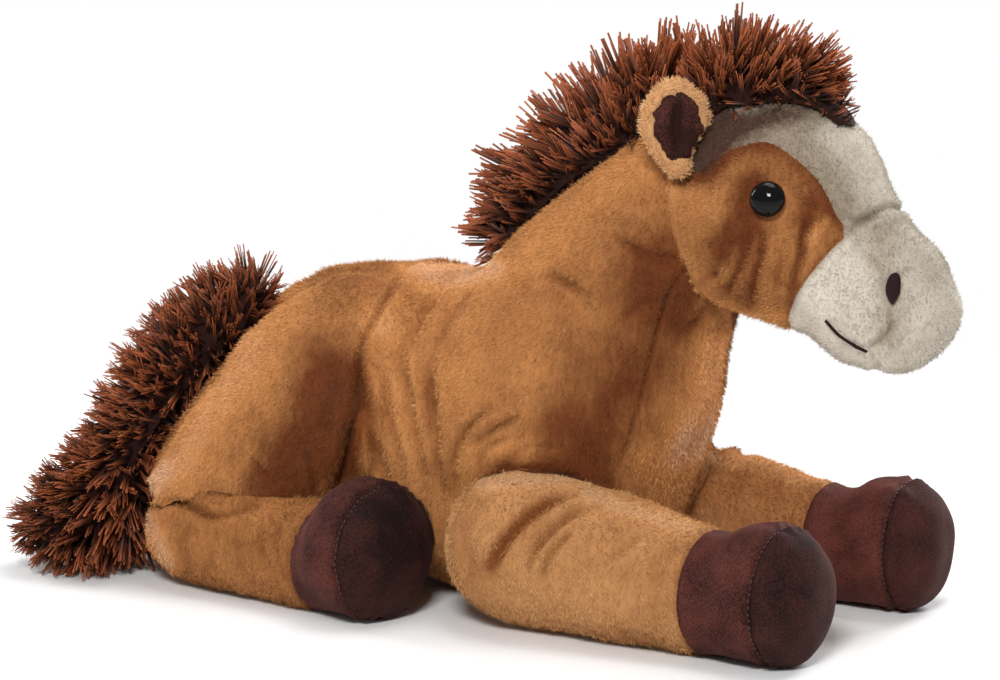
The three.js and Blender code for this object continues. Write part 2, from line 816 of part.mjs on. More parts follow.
// Body covers
{
  const joined = (grow, fineness) =>
    joinAll([body, ...haunches].map((form) => form.solid(grow, fineness)));
  const outer = aboveFloor(joined(0, 1));
  const inner = joined(-coverThickness, innerShare);
  const sockets = sweptByLimbs(swingFit, 1);
  const cover = outer.subtract(inner).subtract(sockets);
  const seam = (x, way) => new THREE.Vector3(x + (way * seatFit) / 2, 0, 0);
  const backward = forward.clone().negate();
  const overRump = forward.clone().applyAxisAngle(leftward, radians(rumpSeamLean));
  const dockHole = solid(ballAt(dock, tailRootRadius + swingFit));
  const half = (made, hand) =>
    sliceOf(made, new THREE.Vector3(0, (hand * seatFit) / 2, 0), leftward.clone().multiplyScalar(hand));

  const rumpBack = overRump.clone().negate();
  const rump = sliceOf(cover, seam(rumpSeamX, -1), rumpBack).subtract(dockHole);
  const middle = sliceOf(cover, seam(rumpSeamX, 1), overRump);
  const barrel = sliceOf(middle, seam(shoulderSeamX, -1), backward);
  const shoulders = sliceOf(cover, seam(shoulderSeamX, 1), forward);
  addPiece("rump_cover_right", half(rump, right), tan);
  addPiece("rump_cover_left", half(rump, left), tan);
  addPiece("barrel_cover", barrel, tanLight);

  // The gusset lies in front of and below the body's middle line, between the side panels.
  const gussetBlock = (halfWidth) => {
    const low = -farAway;
    const line = bodyStations.slice(2).map((s) => new THREE.Vector2(s.place.x, s.place.z));
    const outline = new THREE.Shape([
      new THREE.Vector2(line[0].x, low),
      new THREE.Vector2(farAway, low),
      new THREE.Vector2(farAway, line[line.length - 1].y),
      ...line.reverse(),
    ]);
    const block = new THREE.ExtrudeGeometry(outline, { depth: 2 * halfWidth, bevelEnabled: false });
    const way = placed(forward, upward, leftward.clone().negate(), new THREE.Vector3(0, halfWidth, 0));
    return solid(block, way);
  };
  addPiece("chest_gusset", shoulders.intersect(gussetBlock(gussetHalfWidth)), tan);
  const sidePanels = shoulders.subtract(gussetBlock(gussetHalfWidth + seatFit));
  addPiece("shoulder_cover_right", half(sidePanels, right), tan);
  addPiece("shoulder_cover_left", half(sidePanels, left), tan);

  const filling = joined(-coverThickness - fillFit, innerShare);
  const innerSockets = sweptByLimbs(swingFit + 2 * coverThickness, innerShare);
  addPiece("body_stuffing", filling.subtract(innerSockets).subtract(dockHole), fibreFill);

  const crest = mane.solid().subtract(joined(seatFit, 1)).subtract(sockets);
  const passing = [right, left].map((hand) => {
    const ear = earAt(hand);
    return ear.cup.swept([earFold(ear), earSwing], swingFit, 1);
  });
  passing.push(forelock.swept([hairSwing], pileFit, 1));
  addPiece("mane", crest.subtract(joinAll(passing)), longPile);
}

// Legs: a cover from the root to the collar, the hoof's wall and its sole, and the stuffing.
function addLeg(kind, side, leg) {
  const outer = aboveFloor(leg.form.solid());
  const cover = outer.subtract(leg.form.solid(-coverThickness, innerShare));
  const behind = leg.way.clone().negate();
  const seam = (place, way) => place.clone().addScaledVector(way, seatFit / 2);
  addPiece(`${kind}_cover_${side}`, sliceOf(cover, seam(leg.collar, behind), behind), tan);
  const hoof = sliceOf(cover, seam(leg.collar, leg.way), leg.way);
  addPiece(`${kind}_hoof_wall_${side}`, sliceOf(hoof, seam(leg.soleSeam, behind), behind), darkBrown);
  addPiece(`${kind}_hoof_sole_${side}`, sliceOf(hoof, seam(leg.soleSeam, leg.way), leg.way), darkBrown);
  addPiece(`${kind}_stuffing_${side}`, leg.form.solid(-coverThickness - fillFit, innerShare), fibreFill);
}
addLeg("foreleg", "right", forelegs[right]);
addLeg("foreleg", "left", forelegs[left]);
addLeg("shank", "right", shanks[right]);
addLeg("shank", "left", shanks[left]);

// Tail: its root is a ball in the rump's socket. It swings towards the middle, and its pile
// is hollowed where the rump and the right haunch pass.
{
  const swing = { place: dock, axis: upward, from: 0, to: tailSwings, steps: 2 };
  const passing = joinAll([body, ...haunches].map((form) => form.swept([swing], swingFit, 1)));
  const pile = aboveFloor(tail.solid()).subtract(passing);
  addPiece("tail", mainBody(pile).add(solid(ballAt(dock, tailRootRadius))), longPile);
}

// Head: cheek panels on both sides, a blaze between them, the muzzle and the stuffing.
{
  const cover = head.solid().subtract(head.solid(-coverThickness, innerShare));
  const seam = (gap) => onHead(muzzleSeam + gap, 0, 0);
  const backWay = noseWay.clone().negate();
  addPiece("muzzle_cover", sliceOf(cover, seam(seatFit / 2), noseWay), white);
  const behind = sliceOf(cover, seam(-seatFit / 2), backWay);

  // The blaze narrows from the brow to the muzzle.
  const blazeBlock = (gap) => {
    const outline = new THREE.Shape([
      new THREE.Vector2(-blazeLength, -blazeTopHalfWidth - gap),
      new THREE.Vector2(muzzleSeam + gap, -blazeLowHalfWidth - gap),
      new THREE.Vector2(muzzleSeam + gap, blazeLowHalfWidth + gap),
      new THREE.Vector2(-blazeLength, blazeTopHalfWidth + gap),
    ]);
    const block = new THREE.ExtrudeGeometry(outline, { depth: farAway, bevelEnabled: false });
    return solid(block, headFrame);
  };
  const bothSides = (make) => make(right).add(make(left));
  const earSocket = (hand) => solid(ballAt(earAt(hand).root, earRootRadius + swingFit));
  const holes = bothSides((hand) => earSocket(hand).add(eyeTurned(eyeHoleProfile, hand)));
  const pockets = bothSides((hand) => earSocket(hand).add(eyeTurned(eyePocketProfile, hand)));
  addPiece("blaze_cover", behind.intersect(blazeBlock(0)).subtract(holes), white);
  const cheeks = behind.subtract(blazeBlock(seatFit)).subtract(holes);
  for (const [side, hand] of sides) {
    const sideWay = leftward.clone().multiplyScalar(hand);
    const chinSeam = sideWay.clone().multiplyScalar(seatFit / 2);
    addPiece(`cheek_cover_${side}`, sliceOf(cheeks, chinSeam, sideWay), tan);
    addPiece(`nostril_${side}`, sewnOn(nostrilOutline, nostrilThickness, hand), blackThread);
    addPiece(`mouth_${side}`, sewnOn(mouthOutline, mouthThickness, hand), blackThread);
  }
  const filling = head.solid(-coverThickness - fillFit, innerShare);
  addPiece("head_stuffing", filling.subtract(pockets), fibreFill);
  const passing = body.swept([{ ...headSwing, steps: 4 }], swingFit, 1);
  const lock = forelock.solid().subtract(head.solid(seatFit)).subtract(passing);
  addPiece("forelock", lock, longPile);
}

// Eyes and ears. An ear's cup is cut where the head passes as it folds.
for (const [side, hand] of sides) {
  addPiece(`eye_${side}`, eyeTurned(eyeProfile, hand), blackPlastic);
  addPiece(`eye_washer_${side}`, eyeTurned(eyeWasherProfile, hand), clearPlastic);
  const ear = earAt(hand);
  const unfold = { ...earFold(ear), from: -earFoldsForward, to: earFoldsBack };
  const passing = head.swept([unfold], swingFit, 1);
  const cup = mainBody(ear.cup.solid().subtract(ear.hollow.solid()).subtract(passing));
  addPiece(`ear_${side}`, cup.add(solid(ballAt(ear.root, earRootRadius))), tanLight);
  const lining = ear.lining.solid().subtract(ear.inLining.solid());
  const within = sliceOf(lining, ear.rimPlace, ear.face.clone().negate());
  addPiece(`ear_lining_${side}`, within, darkBrown);
}

export default horse;
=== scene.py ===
import json
import math

import bmesh
import bpy
import numpy as np
from mathutils import Matrix, Vector
from mathutils.bvhtree import BVHTree


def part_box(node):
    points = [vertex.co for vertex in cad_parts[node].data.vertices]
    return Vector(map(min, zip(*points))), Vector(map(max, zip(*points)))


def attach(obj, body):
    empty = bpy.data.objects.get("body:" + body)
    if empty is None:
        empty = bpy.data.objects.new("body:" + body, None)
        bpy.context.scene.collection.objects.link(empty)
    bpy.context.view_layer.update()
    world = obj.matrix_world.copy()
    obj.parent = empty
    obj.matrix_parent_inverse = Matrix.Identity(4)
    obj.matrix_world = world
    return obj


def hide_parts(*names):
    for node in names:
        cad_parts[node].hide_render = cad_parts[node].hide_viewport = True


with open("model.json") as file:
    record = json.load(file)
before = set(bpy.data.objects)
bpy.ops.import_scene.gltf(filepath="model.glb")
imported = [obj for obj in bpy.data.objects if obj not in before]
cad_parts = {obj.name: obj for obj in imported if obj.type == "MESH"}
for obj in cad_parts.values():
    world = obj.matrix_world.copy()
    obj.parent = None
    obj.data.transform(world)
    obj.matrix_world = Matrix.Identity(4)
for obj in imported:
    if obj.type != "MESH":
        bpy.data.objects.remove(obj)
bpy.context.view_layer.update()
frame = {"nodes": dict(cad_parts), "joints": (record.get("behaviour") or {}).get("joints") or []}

mm = 0.001

# The camera stands in front of the horse's right shoulder, a little above it. It is set
# first, because the folds of the covers are placed where the photograph shows them.
photo_size = Vector((1000, 680))
focal_pixels = 2850
camera_turn = math.radians(33)
camera_rise = math.radians(8)
camera_distance = 1500 * mm
camera_aim = Vector((0, 0, 132 * mm))

rightward = Vector((math.cos(camera_turn), math.sin(camera_turn), 0))
sight = Vector((
    -math.sin(camera_turn) * math.cos(camera_rise),
    math.cos(camera_turn) * math.cos(camera_rise),
    -math.sin(camera_rise),
))
skyward = rightward.cross(sight)
camera_place = camera_aim - sight * camera_distance
pixels_per_mm = focal_pixels / (camera_distance / mm)

camera = bpy.data.objects.new("camera", bpy.data.cameras.new("camera"))
bpy.context.collection.objects.link(camera)
camera.data.sensor_width = 36
camera.data.lens = camera.data.sensor_width * focal_pixels / photo_size.x
camera.data.clip_start = 0.05
bpy.context.scene.camera = camera


def face(stand, place, aim):
    """Puts a camera or lamp at a place and turns it to its aim."""
    stand.matrix_world = Matrix.LocRotScale(place, (aim - place).to_track_quat("-Z", "Y"), None)


face(camera, camera_place, camera_aim)


# Torso: sewn plush panels over fibre filling. The haunch panels end at a seam in front of
# the thighs, a creased barrel panel follows, then the shoulder and neck panels with a
# gusset down the throat and chest. All start as one stuffed skin with the seams drawn in.
weld_gap = 0.01 * mm
# From this gap on, in mm, a form is rounded fully; beside its neighbour only by this share.
free_gap = 9
least_rounding = 0.12


def shape_of(nodes):
    """A bmesh of some CAD nodes."""
    shape = bmesh.new()
    for node in nodes:
        shape.from_mesh(frame["nodes"][node].data)
    return shape


def shade_faces(mesh, smooth):
    mesh.polygons.foreach_set("use_smooth", [smooth] * len(mesh.polygons))


def new_piece(name, shape, smooth=True):
    """An object at the origin that holds a bmesh."""
    mesh = bpy.data.meshes.new(name)
    shape.to_mesh(mesh)
    shape.free()
    piece = bpy.data.objects.new(name, mesh)
    bpy.context.collection.objects.link(piece)
    shade_faces(mesh, smooth)
    return piece


def settled(piece, smooth=True):
    """Applies a piece's modifiers to its mesh."""
    graph = bpy.context.evaluated_depsgraph_get()
    mesh = bpy.data.meshes.new_from_object(piece.evaluated_get(graph))
    piece.modifiers.clear()
    piece.data = mesh
    if smooth:
        shade_faces(mesh, True)


def read_vectors(items, what):
    values = np.empty(len(items) * 3)
    items.foreach_get(what, values)
    return values.reshape(-1, 3)


def store(mesh, name, values):
    """Keeps a number or a vector for each point of a mesh."""
    kind, field = ("FLOAT", "value") if values.ndim == 1 else ("FLOAT_VECTOR", "vector")
    mesh.attributes.new(name, kind, "POINT").data.foreach_set(field, values.ravel())


def lengths(vectors):
    return np.linalg.norm(vectors, axis=1)


def ramp(value, start, end):
    """0 up to start, 1 from end on and a straight rise between; start may be the higher one."""
    return np.clip((value - start) / (end - start), 0, 1)


def middle_of(node):
    low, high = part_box(node)
    return np.array(low + high) / 2


def to_nearest(nodes, points):
    """The way from each point to the closest place on some CAD nodes."""
    shape = shape_of(nodes)
    tree = BVHTree.FromBMesh(shape)
    shape.free()
    return np.array([tree.find_nearest(point)[0] for point in points]) - points


def outer_part(piece):
    """Keeps the largest connected part of a mesh."""
    shape = bmesh.new()
    shape.from_mesh(piece.data)
    left = set(shape.verts)
    largest = []
    while left:
        part = [left.pop()]
        for point in part:
            others = {edge.other_vert(point) for edge in point.link_edges} & left
            left -= others
            part += others
        largest = max(largest, part, key=len)
    lost = list(set(shape.verts) - set(largest))
    bmesh.ops.delete(shape, geom=lost, context="VERTS")
    shape.to_mesh(piece.data)
    shape.free()


def sewn_form(name, nodes, voxel, relax, neighbours=(), fillings=()):
    """One closed, rounded skin over the panels and filling of some CAD nodes.

    Beside its neighbours it is rounded less, and fillings are ovals that close hollows.
    """
    shape = shape_of(nodes)
    for middle, radii in fillings:
        place = Matrix.LocRotScale(Vector(middle) * mm, None, Vector(radii) * mm)
        bmesh.ops.create_icosphere(shape, subdivisions=3, radius=1, matrix=place)
    bmesh.ops.remove_doubles(shape, verts=shape.verts, dist=weld_gap)
    form = new_piece(name, shape)
    skin = form.modifiers.new("one skin", "REMESH")
    skin.mode = "VOXEL"
    skin.voxel_size = voxel
    settled(form)
    outer_part(form)
    rounding = form.modifiers.new("rounded", "SMOOTH")
    rounding.factor = 0.5
    rounding.iterations = relax
    if neighbours:
        gaps = lengths(to_nearest(neighbours, read_vectors(form.data.vertices, "co"))) / mm
        loose = form.vertex_groups.new(name="loose")
        for index, gap in enumerate(gaps):
            loose.add([index], min(max(gap / free_gap, least_rounding), 1), "REPLACE")
        rounding.vertex_group = "loose"
    settled(form)
    form.vertex_groups.clear()
    return form


def near_side(points):
    """The points with those of the far side mirrored to the near side."""
    return np.stack([points[:, 0], -np.abs(points[:, 1]), points[:, 2]], axis=1)


def seen_at(points):
    """The photograph's pixel of each point; the far side is read as the near side mirrored."""
    offset = near_side(points) - np.array(camera_place)
    depth = offset @ np.array(sight)
    across = photo_size.x / 2 + focal_pixels * (offset @ np.array(rightward)) / depth
    down = photo_size.y / 2 - focal_pixels * (offset @ np.array(skyward)) / depth
    return np.stack([across, down], axis=1)


def rounded_path(corners, steps=8):
    """A smooth path through corner points."""
    corners = [np.array(corner, float) for corner in corners]
    ends = [2 * corners[0] - corners[1], *corners, 2 * corners[-1] - corners[-2]]
    path = []
    for a, b, c, d in zip(ends, ends[1:], ends[2:], ends[3:]):
        for step in range(steps):
            t = step / steps
            bend = 2 * a - 5 * b + 4 * c - d
            twist = 3 * b - a - 3 * c + d
            path.append(b + 0.5 * t * (c - a + t * (bend + t * twist)))
    return np.array(path + [corners[-1]])


def off_path(places, corners):
    """How far each place is from a smooth path, and where along it, from 0 to 1."""
    path = rounded_path(corners)
    gap = np.full(len(places), np.inf)
    share = np.zeros(len(places))
    for index, (start, end) in enumerate(zip(path, path[1:])):
        span = end - start
        along = np.clip((places - start) @ span / (span @ span), 0, 1)
        here = lengths(places - start - along[:, None] * span)
        share = np.where(here < gap, (index + along) / (len(path) - 1), share)
        gap = np.minimum(gap, here)
    return gap, share


def bumps(points, size, seed):
    """A smooth random value around 0 at each point; its lumps are about one size across."""
    chance = np.random.default_rng(seed)
    total = np.zeros(len(points))
    waves = 14
    for _ in range(waves):
        way = chance.normal(size=3)
        way *= chance.uniform(0.6, 1.5) * math.pi / (size * np.linalg.norm(way))
        total += np.sin(points @ way + chance.uniform(0, 2 * math.pi))
    return total / math.sqrt(waves)


class Skin:
    """The points of a stuffed skin, while seams and folds are worked into it."""

    # The share of a fold's length over which it runs out.
    path_end = 0.22

    def __init__(self, piece):
        self.piece = piece
        self.points = read_vectors(piece.data.vertices, "co")
        self.ways = read_vectors(piece.data.vertices, "normal")
        self.pixels = seen_at(self.points)
        toward = self.ways * [1, 1, 1]
        toward[:, 1] *= -np.sign(self.points[:, 1] + 1e-9)
        self.facing = np.clip(0.55 - 3.5 * (toward @ np.array(sight)), 0, 1)
        self.shade = np.zeros(len(self.points))
        self.pressed = np.zeros(len(self.points))
        self.grow = np.ones(len(self.points))
        self.pull = np.zeros(self.points.shape)

    def move(self, by, where=1.0):
        """Moves the skin outwards, in mm."""
        self.points += self.ways * np.broadcast_to(by * mm * where, len(self.ways))[:, None]

    def groove(self, gap, width, depth, lips=0.3, where=1.0):
        """Draws the skin in along a line between two full lips; gap and sizes are in mm."""
        inner = np.exp(-(gap / width) ** 2)
        outer = np.exp(-((gap - 2.2 * width) / (1.1 * width)) ** 2)
        self.move(depth * (lips * outer - inner), where)
        self.pressed = np.maximum(self.pressed, inner * where * min(depth / 2, 1))
        # Painted shade: the skin is painted darker down the groove.
        self.shade -= 0.12 * depth * inner * where

    def along(self, path_pixels):
        """How far, in mm, the skin is off a path of the photograph, and how fully it shows there."""
        gap, share = off_path(self.pixels, path_pixels)
        return gap / pixels_per_mm, ramp(np.minimum(share, 1 - share), 0, self.path_end)

    def fold(self, path_pixels, width, depth, lips=0.3, where=1.0):
        """A groove along a path of the photograph that runs out at both ends."""
        gap, fades = self.along(path_pixels)
        self.groove(gap, width, depth, lips, fades ** 0.7 * self.facing * where)

    def ridge(self, path_pixels, width, height):
        """A raised line along a path of the photograph."""
        gap, fades = self.along(path_pixels)
        self.move(height * np.exp(-(gap / width) ** 2) * self.facing * fades)

    def tint(self, path_pixels, reach, amount):
        """Paints the nap darker, below 0, or lighter near a path of the photograph: painted shade and
        painted highlights, partly the nap's own tone.
        """
        gap = off_path(self.pixels, path_pixels)[0]
        self.shade += amount * np.exp(-(gap / reach) ** 2) * self.facing

    def close_on(self, nodes, share, wide):
        """Draws the lips of a socket towards the limb in it, over gaps up to some mm wide."""
        offset = to_nearest(nodes, self.points)
        gap = lengths(offset) / mm
        drawn = share * ramp(gap, wide, 0.5 * wide) * ramp(gap, 0.9, 2.1)
        self.points += offset * drawn[:, None]

    def meet(self, nodes, reach=5):
        """No pile grows where the skin lies against other nodes; beside them it leans over the gap."""
        offset = to_nearest(nodes, self.points)
        gap = lengths(offset)
        facing = (offset * self.ways).sum(1) / np.maximum(gap, 1e-9)
        gap /= mm
        hidden = ramp(gap, 4.5, 1.5) * ramp(facing, 0.55, 0.85)
        self.grow *= 1 - hidden
        lips = np.exp(-(gap / reach) ** 2) * (1 - hidden)
        self.pull += offset / np.maximum(gap, 0.5)[:, None] / mm * lips[:, None]

    def bare(self, where):
        """Keeps the pile off where this is 1."""
        self.grow *= 1 - np.clip(where, 0, 1)

    def done(self, nap, lean):
        """Sets the mesh and keeps which way, and how far, its pile grows."""
        mesh = self.piece.data
        mesh.vertices.foreach_set("co", self.points.ravel())
        mesh.update()
        ways = read_vectors(mesh.vertices, "normal")
        nap = np.broadcast_to(np.array(nap, float), ways.shape)
        nap = nap - ways * (nap * ways).sum(1)[:, None]
        nap /= np.maximum(lengths(nap), 0.3)[:, None]
        lean = np.broadcast_to(lean, len(ways))[:, None]
        store(mesh, "way", ways + lean * nap + self.pull)
        store(mesh, "grow", self.grow * (1 - 0.45 * self.pressed))
        store(mesh, "shade", self.shade)


def parted(form, kind_of, cuts=()):
    """Parts a skin into one piece for each kind of face, after cutting it in some planes."""
    whole = bmesh.new()
    whole.from_mesh(form.data)
    for place, way in cuts:
        parts = [*whole.verts, *whole.edges, *whole.faces]
        bmesh.ops.bisect_plane(whole, geom=parts, plane_co=place, plane_no=way)
    whole.faces.ensure_lookup_table()
    kinds = kind_of(np.array([face.calc_center_median() for face in whole.faces]))
    pieces = {}
    for kind in dict.fromkeys(kinds):
        shape = whole.copy()
        shape.faces.ensure_lookup_table()
        others = [shape.faces[index] for index in np.flatnonzero(kinds != kind)]
        bmesh.ops.delete(shape, geom=others, context="FACES")
        pieces[str(kind)] = new_piece(str(kind), shape)
    whole.free()
    bpy.data.objects.remove(form)
    return pieces


# Fine plush: a tuft is a few thin, tapered hairs that grow from one knot of the cloth.
def tuft_of(name, length, bend, spread, seed, hairs=5, width=0.42 * mm):
    """A tuft whose hairs bend along +X. Its attribute tip runs from 0 at the root to 1."""
    chance = np.random.default_rng(seed)
    shape = bmesh.new()
    for _ in range(hairs):
        size = chance.uniform(0.7, 1.15)
        ends = {"radius1": width / 2, "radius2": 0}
        cone = bmesh.ops.create_cone(shape, segments=3, depth=length * size, **ends)["verts"]
        bmesh.ops.translate(shape, verts=cone, vec=(0, 0, length * size / 2))
        tip = max(cone, key=lambda point: point.co.z)
        tip.co.x += bend * size
        lean = Matrix.Rotation(spread * chance.uniform(0.15, 1), 3, "Y")
        turn = Matrix.Rotation(chance.uniform(0, 2 * math.pi), 3, "Z")
        bmesh.ops.rotate(shape, verts=cone, cent=(0, 0, 0), matrix=turn @ lean)
        knot = Vector((chance.uniform(-1, 1), chance.uniform(-1, 1), 0)) * width * 2.4
        bmesh.ops.translate(shape, verts=cone, vec=knot)
    tuft = new_piece(name, shape, smooth=False)
    heights = read_vectors(tuft.data.vertices, "co")[:, 2] / length
    store(tuft.data, "tip", np.clip(heights, 0, 1))
    return tuft


class Wire:
    """A socket of a node, on which arithmetic adds Math nodes."""

    def __init__(self, graph, socket):
        self.graph = graph
        self.socket = socket

    def _with(self, operation, first, second):
        return self.graph.add("ShaderNodeMath", {"operation": operation}, {0: first, 1: second})

    def __add__(self, other):
        return self._with("ADD", self, other)

    def __sub__(self, other):
        return self._with("SUBTRACT", self, other)

    def __rsub__(self, other):
        return self._with("SUBTRACT", other, self)

    def __mul__(self, other):
        return self._with("MULTIPLY", self, other)

    def clamped(self):
        return self.graph.add("ShaderNodeClamp", {}, {"Value": self})


class Graph:
    """Adds nodes to a node tree."""

    def __init__(self, tree):
        self.tree = tree

    def add(self, kind, settings=None, inputs=None, output=0):
        """A node with its settings, then its inputs by name or number, as one of its outputs."""
        node = self.tree.nodes.new(kind)
        for name, value in (settings or {}).items():
            setattr(node, name, value)
        for name, value in (inputs or {}).items():
            self.put(node.inputs[name], value)
        return Wire(self, node.outputs[output])

    def put(self, socket, value):
        if isinstance(value, Wire):
            self.tree.links.new(value.socket, socket)
        else:
            socket.default_value = value

    def chance(self, kind, low, high, seed):
        """A random number or vector for each point."""
        first, output = (0, 0) if kind == "FLOAT_VECTOR" else (2, 1)
        inputs = {first: low, first + 1: high, "Seed": seed}
        return self.add("FunctionNodeRandomValue", {"data_type": kind}, inputs, output)


def pile(piece, tufts, spacing, stray, seed, sizes=(0.7, 1.25)):
    """Grows tufts on a piece along its attribute way, as long as its attribute grow says."""
    material = piece.data.materials[0]
    tree = bpy.data.node_groups.new("pile", "GeometryNodeTree")
    for way in ["INPUT", "OUTPUT"]:
        tree.interface.new_socket("Geometry", in_out=way, socket_type="NodeSocketGeometry")
    graph = Graph(tree)
    cloth = graph.add("NodeGroupInput")
    grow = graph.add("GeometryNodeInputNamedAttribute", {"data_type": "FLOAT"}, {"Name": "grow"})
    way = graph.add("GeometryNodeInputNamedAttribute", {"data_type": "FLOAT_VECTOR"}, {"Name": "way"})
    inputs = {"Mesh": cloth, "Density Factor": (grow * 4 - 0.4).clamped(), "Seed": seed}
    inputs.update({"Distance Min": 0.72 * spacing, "Density Max": 1.5 / spacing ** 2})
    knots = graph.add("GeometryNodeDistributePointsOnFaces", {"distribute_method": "POISSON"}, inputs)
    strays = graph.chance("FLOAT_VECTOR", (-stray,) * 3, (stray,) * 3, seed + 1)
    way = graph.add("ShaderNodeVectorMath", {"operation": "ADD"}, {0: way, 1: strays})
    stand = graph.add("FunctionNodeAlignRotationToVector", {"axis": "Z"}, {"Vector": way})
    twist = graph.chance("FLOAT", 0.0, 2 * math.pi, seed + 2)
    turn = graph.add("FunctionNodeAxisAngleToRotation", {}, {"Axis": (0, 0, 1), "Angle": twist})
    inputs = {"Rotation": stand, "Rotate By": turn}
    stand = graph.add("FunctionNodeRotateRotation", {"rotation_space": "LOCAL"}, inputs)
    size = graph.chance("FLOAT", *sizes, seed + 3)
    kinds = graph.add("GeometryNodeGeometryToInstance")
    for tuft in tufts:
        kind = graph.add("GeometryNodeObjectInfo", {}, {"Object": tuft}, "Geometry")
        graph.put(kinds.socket.node.inputs[0], kind)
    inputs = {"Points": knots, "Instance": kinds, "Pick Instance": True}
    inputs.update({"Rotation": stand, "Scale": size * grow})
    grown = graph.add("GeometryNodeInstanceOnPoints", {}, inputs)
    inputs = {"Geometry": grown, "Name": "strand", "Value": graph.chance("FLOAT", 0.0, 1.0, seed + 4)}
    settings = {"data_type": "FLOAT", "domain": "INSTANCE"}
    named = graph.add("GeometryNodeStoreNamedAttribute", settings, inputs)
    real = graph.add("GeometryNodeRealizeInstances", {}, {"Geometry": named})
    both = graph.add("GeometryNodeJoinGeometry")
    graph.put(both.socket.node.inputs[0], cloth)
    graph.put(both.socket.node.inputs[0], real)
    graph.put(tree.nodes.new("NodeGroupOutput").inputs[0], both)
    piece.modifiers.new("pile", "NODES").node_group = tree
    settled(piece, smooth=False)
    bpy.data.node_groups.remove(tree)
    piece.data.materials.clear()
    piece.data.materials.append(material)
    piece.data.polygons.foreach_set("material_index", [0] * len(piece.data.polygons))


class Cloth(Graph):
    """A cloth's material: colours that vary over the piece, on one shader."""

    def __init__(self, name, **settings):
        self.material = bpy.data.materials.new(name)
        self.material.use_nodes = True
        super().__init__(self.material.node_tree)
        self.shader = self.tree.nodes["Principled BSDF"]
        for socket, setting in settings.items():
            self.shader.inputs[socket.replace("_", " ")].default_value = setting
        self.place = self.add("ShaderNodeTexCoord", output="Object")

    def attribute(self, name):
        return self.add("ShaderNodeAttribute", {"attribute_name": name}, output="Fac")

    def noise(self, size, detail=2, stretch=(1, 1, 1)):
        """A random value from 0 to 1 in lumps of one size."""
        place = self.add("ShaderNodeVectorMath", {"operation": "MULTIPLY"}, {0: self.place, 1: stretch})
        inputs = {"Vector": place, "Scale": 1 / size, "Detail": detail}
        return self.add("ShaderNodeTexNoise", {"normalize": True}, inputs)

    def steps(self, value, low, high):
        """0 below low, 1 above high and a smooth rise between them."""
        inputs = {"Value": value, "From Min": low, "From Max": high}
        return self.add("ShaderNodeMapRange", {"interpolation_type": "SMOOTHSTEP"}, inputs)

    def mix(self, share, a, b, kind="MIX"):
        """Mixes wires or plain colours."""
        a, b = (part if isinstance(part, Wire) else (*part, 1) for part in [a, b])
        settings = {"data_type": "RGBA", "blend_type": kind}
        return self.add("ShaderNodeMix", settings, {0: share, 6: a, 7: b}, 2)

    def colour(self, value):
        value = value if isinstance(value, Wire) else (*value, 1)
        self.put(self.shader.inputs["Base Color"], value)

    def relief(self, height, strength, depth):
        inputs = {"Height": height, "Strength": strength, "Distance": depth}
        self.put(self.shader.inputs["Normal"], self.add("ShaderNodeBump", {}, inputs))


# Where the shade attribute is lowest, beside the ears and under the mane, the plush turns this brown:
# painted shadow of the ear and mane, partly the dark fur at the ear's base.
shadow_and_fur_brown = (0.062, 0.027, 0.017)


def plush(name, deep, light, root=(0.58, 0.48, 0.40), patches=0.9, rough=0.2):
    """Short pile: painted shade darkens it down between the hairs; random patches brush it lighter and
    darker, and its shade attribute adds painted shade and painted highlights.
    """
    sheen = {"Sheen_Weight": 0.2, "Sheen_Roughness": 0.5, "Sheen_Tint": (*light, 1)}
    cloth = Cloth(name, Roughness=0.85, Specular_IOR_Level=0.2, **sheen)
    brushed = (cloth.noise(30 * mm, 3) - 0.5) * patches + (cloth.noise(6 * mm, 2) - 0.5) * 0.3 * patches
    streaks = cloth.noise(2.6 * mm, 1, (1, 1, 0.22))
    brushed = brushed + (streaks - 0.5) * 0.45 * patches
    shade = cloth.steps(brushed + cloth.attribute("shade") + 0.6, -0.3, 1.3)
    colour = cloth.mix(shade, deep, light)
    grain = cloth.noise(0.8 * mm, 2)
    # Painted sheen: where the shade attribute is above 0.35 the colour turns pale, a painted rim highlight.
    painted_sheen = ((cloth.attribute("shade") - 0.35) * 0.8).clamped()
    colour = cloth.mix(painted_sheen, colour, [0.55 * part + 0.40 for part in light])
    # Painted shadow, partly dark fur: below a shade of -1.2 the colour runs to the dark brown.
    shadow_and_fur = (cloth.attribute("shade") * -1 - 1.2 + (cloth.noise(3 * mm) - 0.5)).clamped()
    colour = cloth.mix(shadow_and_fur, colour, shadow_and_fur_brown)
    # Painted shade between the hairs: the cloth and the hairs' roots are multiplied by the root colour, the
    # tips keep the full colour.
    hairs = cloth.attribute("tip") * 0.6 + cloth.attribute("strand") * 0.25 + grain * 0.5
    dark = cloth.mix(1.0, colour, root, "MULTIPLY")
    cloth.colour(cloth.mix(cloth.steps(hairs, 0.1, 0.9), dark, colour))
    cloth.relief(grain, rough, 0.4 * mm)
    return cloth.material


torso_nodes = ["rump_cover_right", "rump_cover_left", "barrel_cover", "chest_gusset"]
torso_nodes += ["shoulder_cover_right", "shoulder_cover_left", "body_stuffing"]
head_nodes = ["blaze_cover", "cheek_cover_right", "cheek_cover_left", "muzzle_cover", "head_stuffing"]
limb_nodes = head_nodes + [name for name in frame["nodes"] if name.startswith(("foreleg", "shank"))]

# The voxel size and the steps of rounding of body and legs.
stuffed = (2.3 * mm, 34)

# Seams from the floor up: along and up, in mm.
haunch_seam = [(-32, 0), (-38, 90), (-34, 110), (-37, 135), (-44, 150), (-60, 172)]
shoulder_seam = [(14, 0), (5, 64), (0, 99), (-5, 126), (-1, 142), (4, 158), (22, 176)]
gusset_edge = [(30, 87), (64, 112), (89, 142), (108, 168), (121, 194), (132, 208)]
gusset_half_width = 44


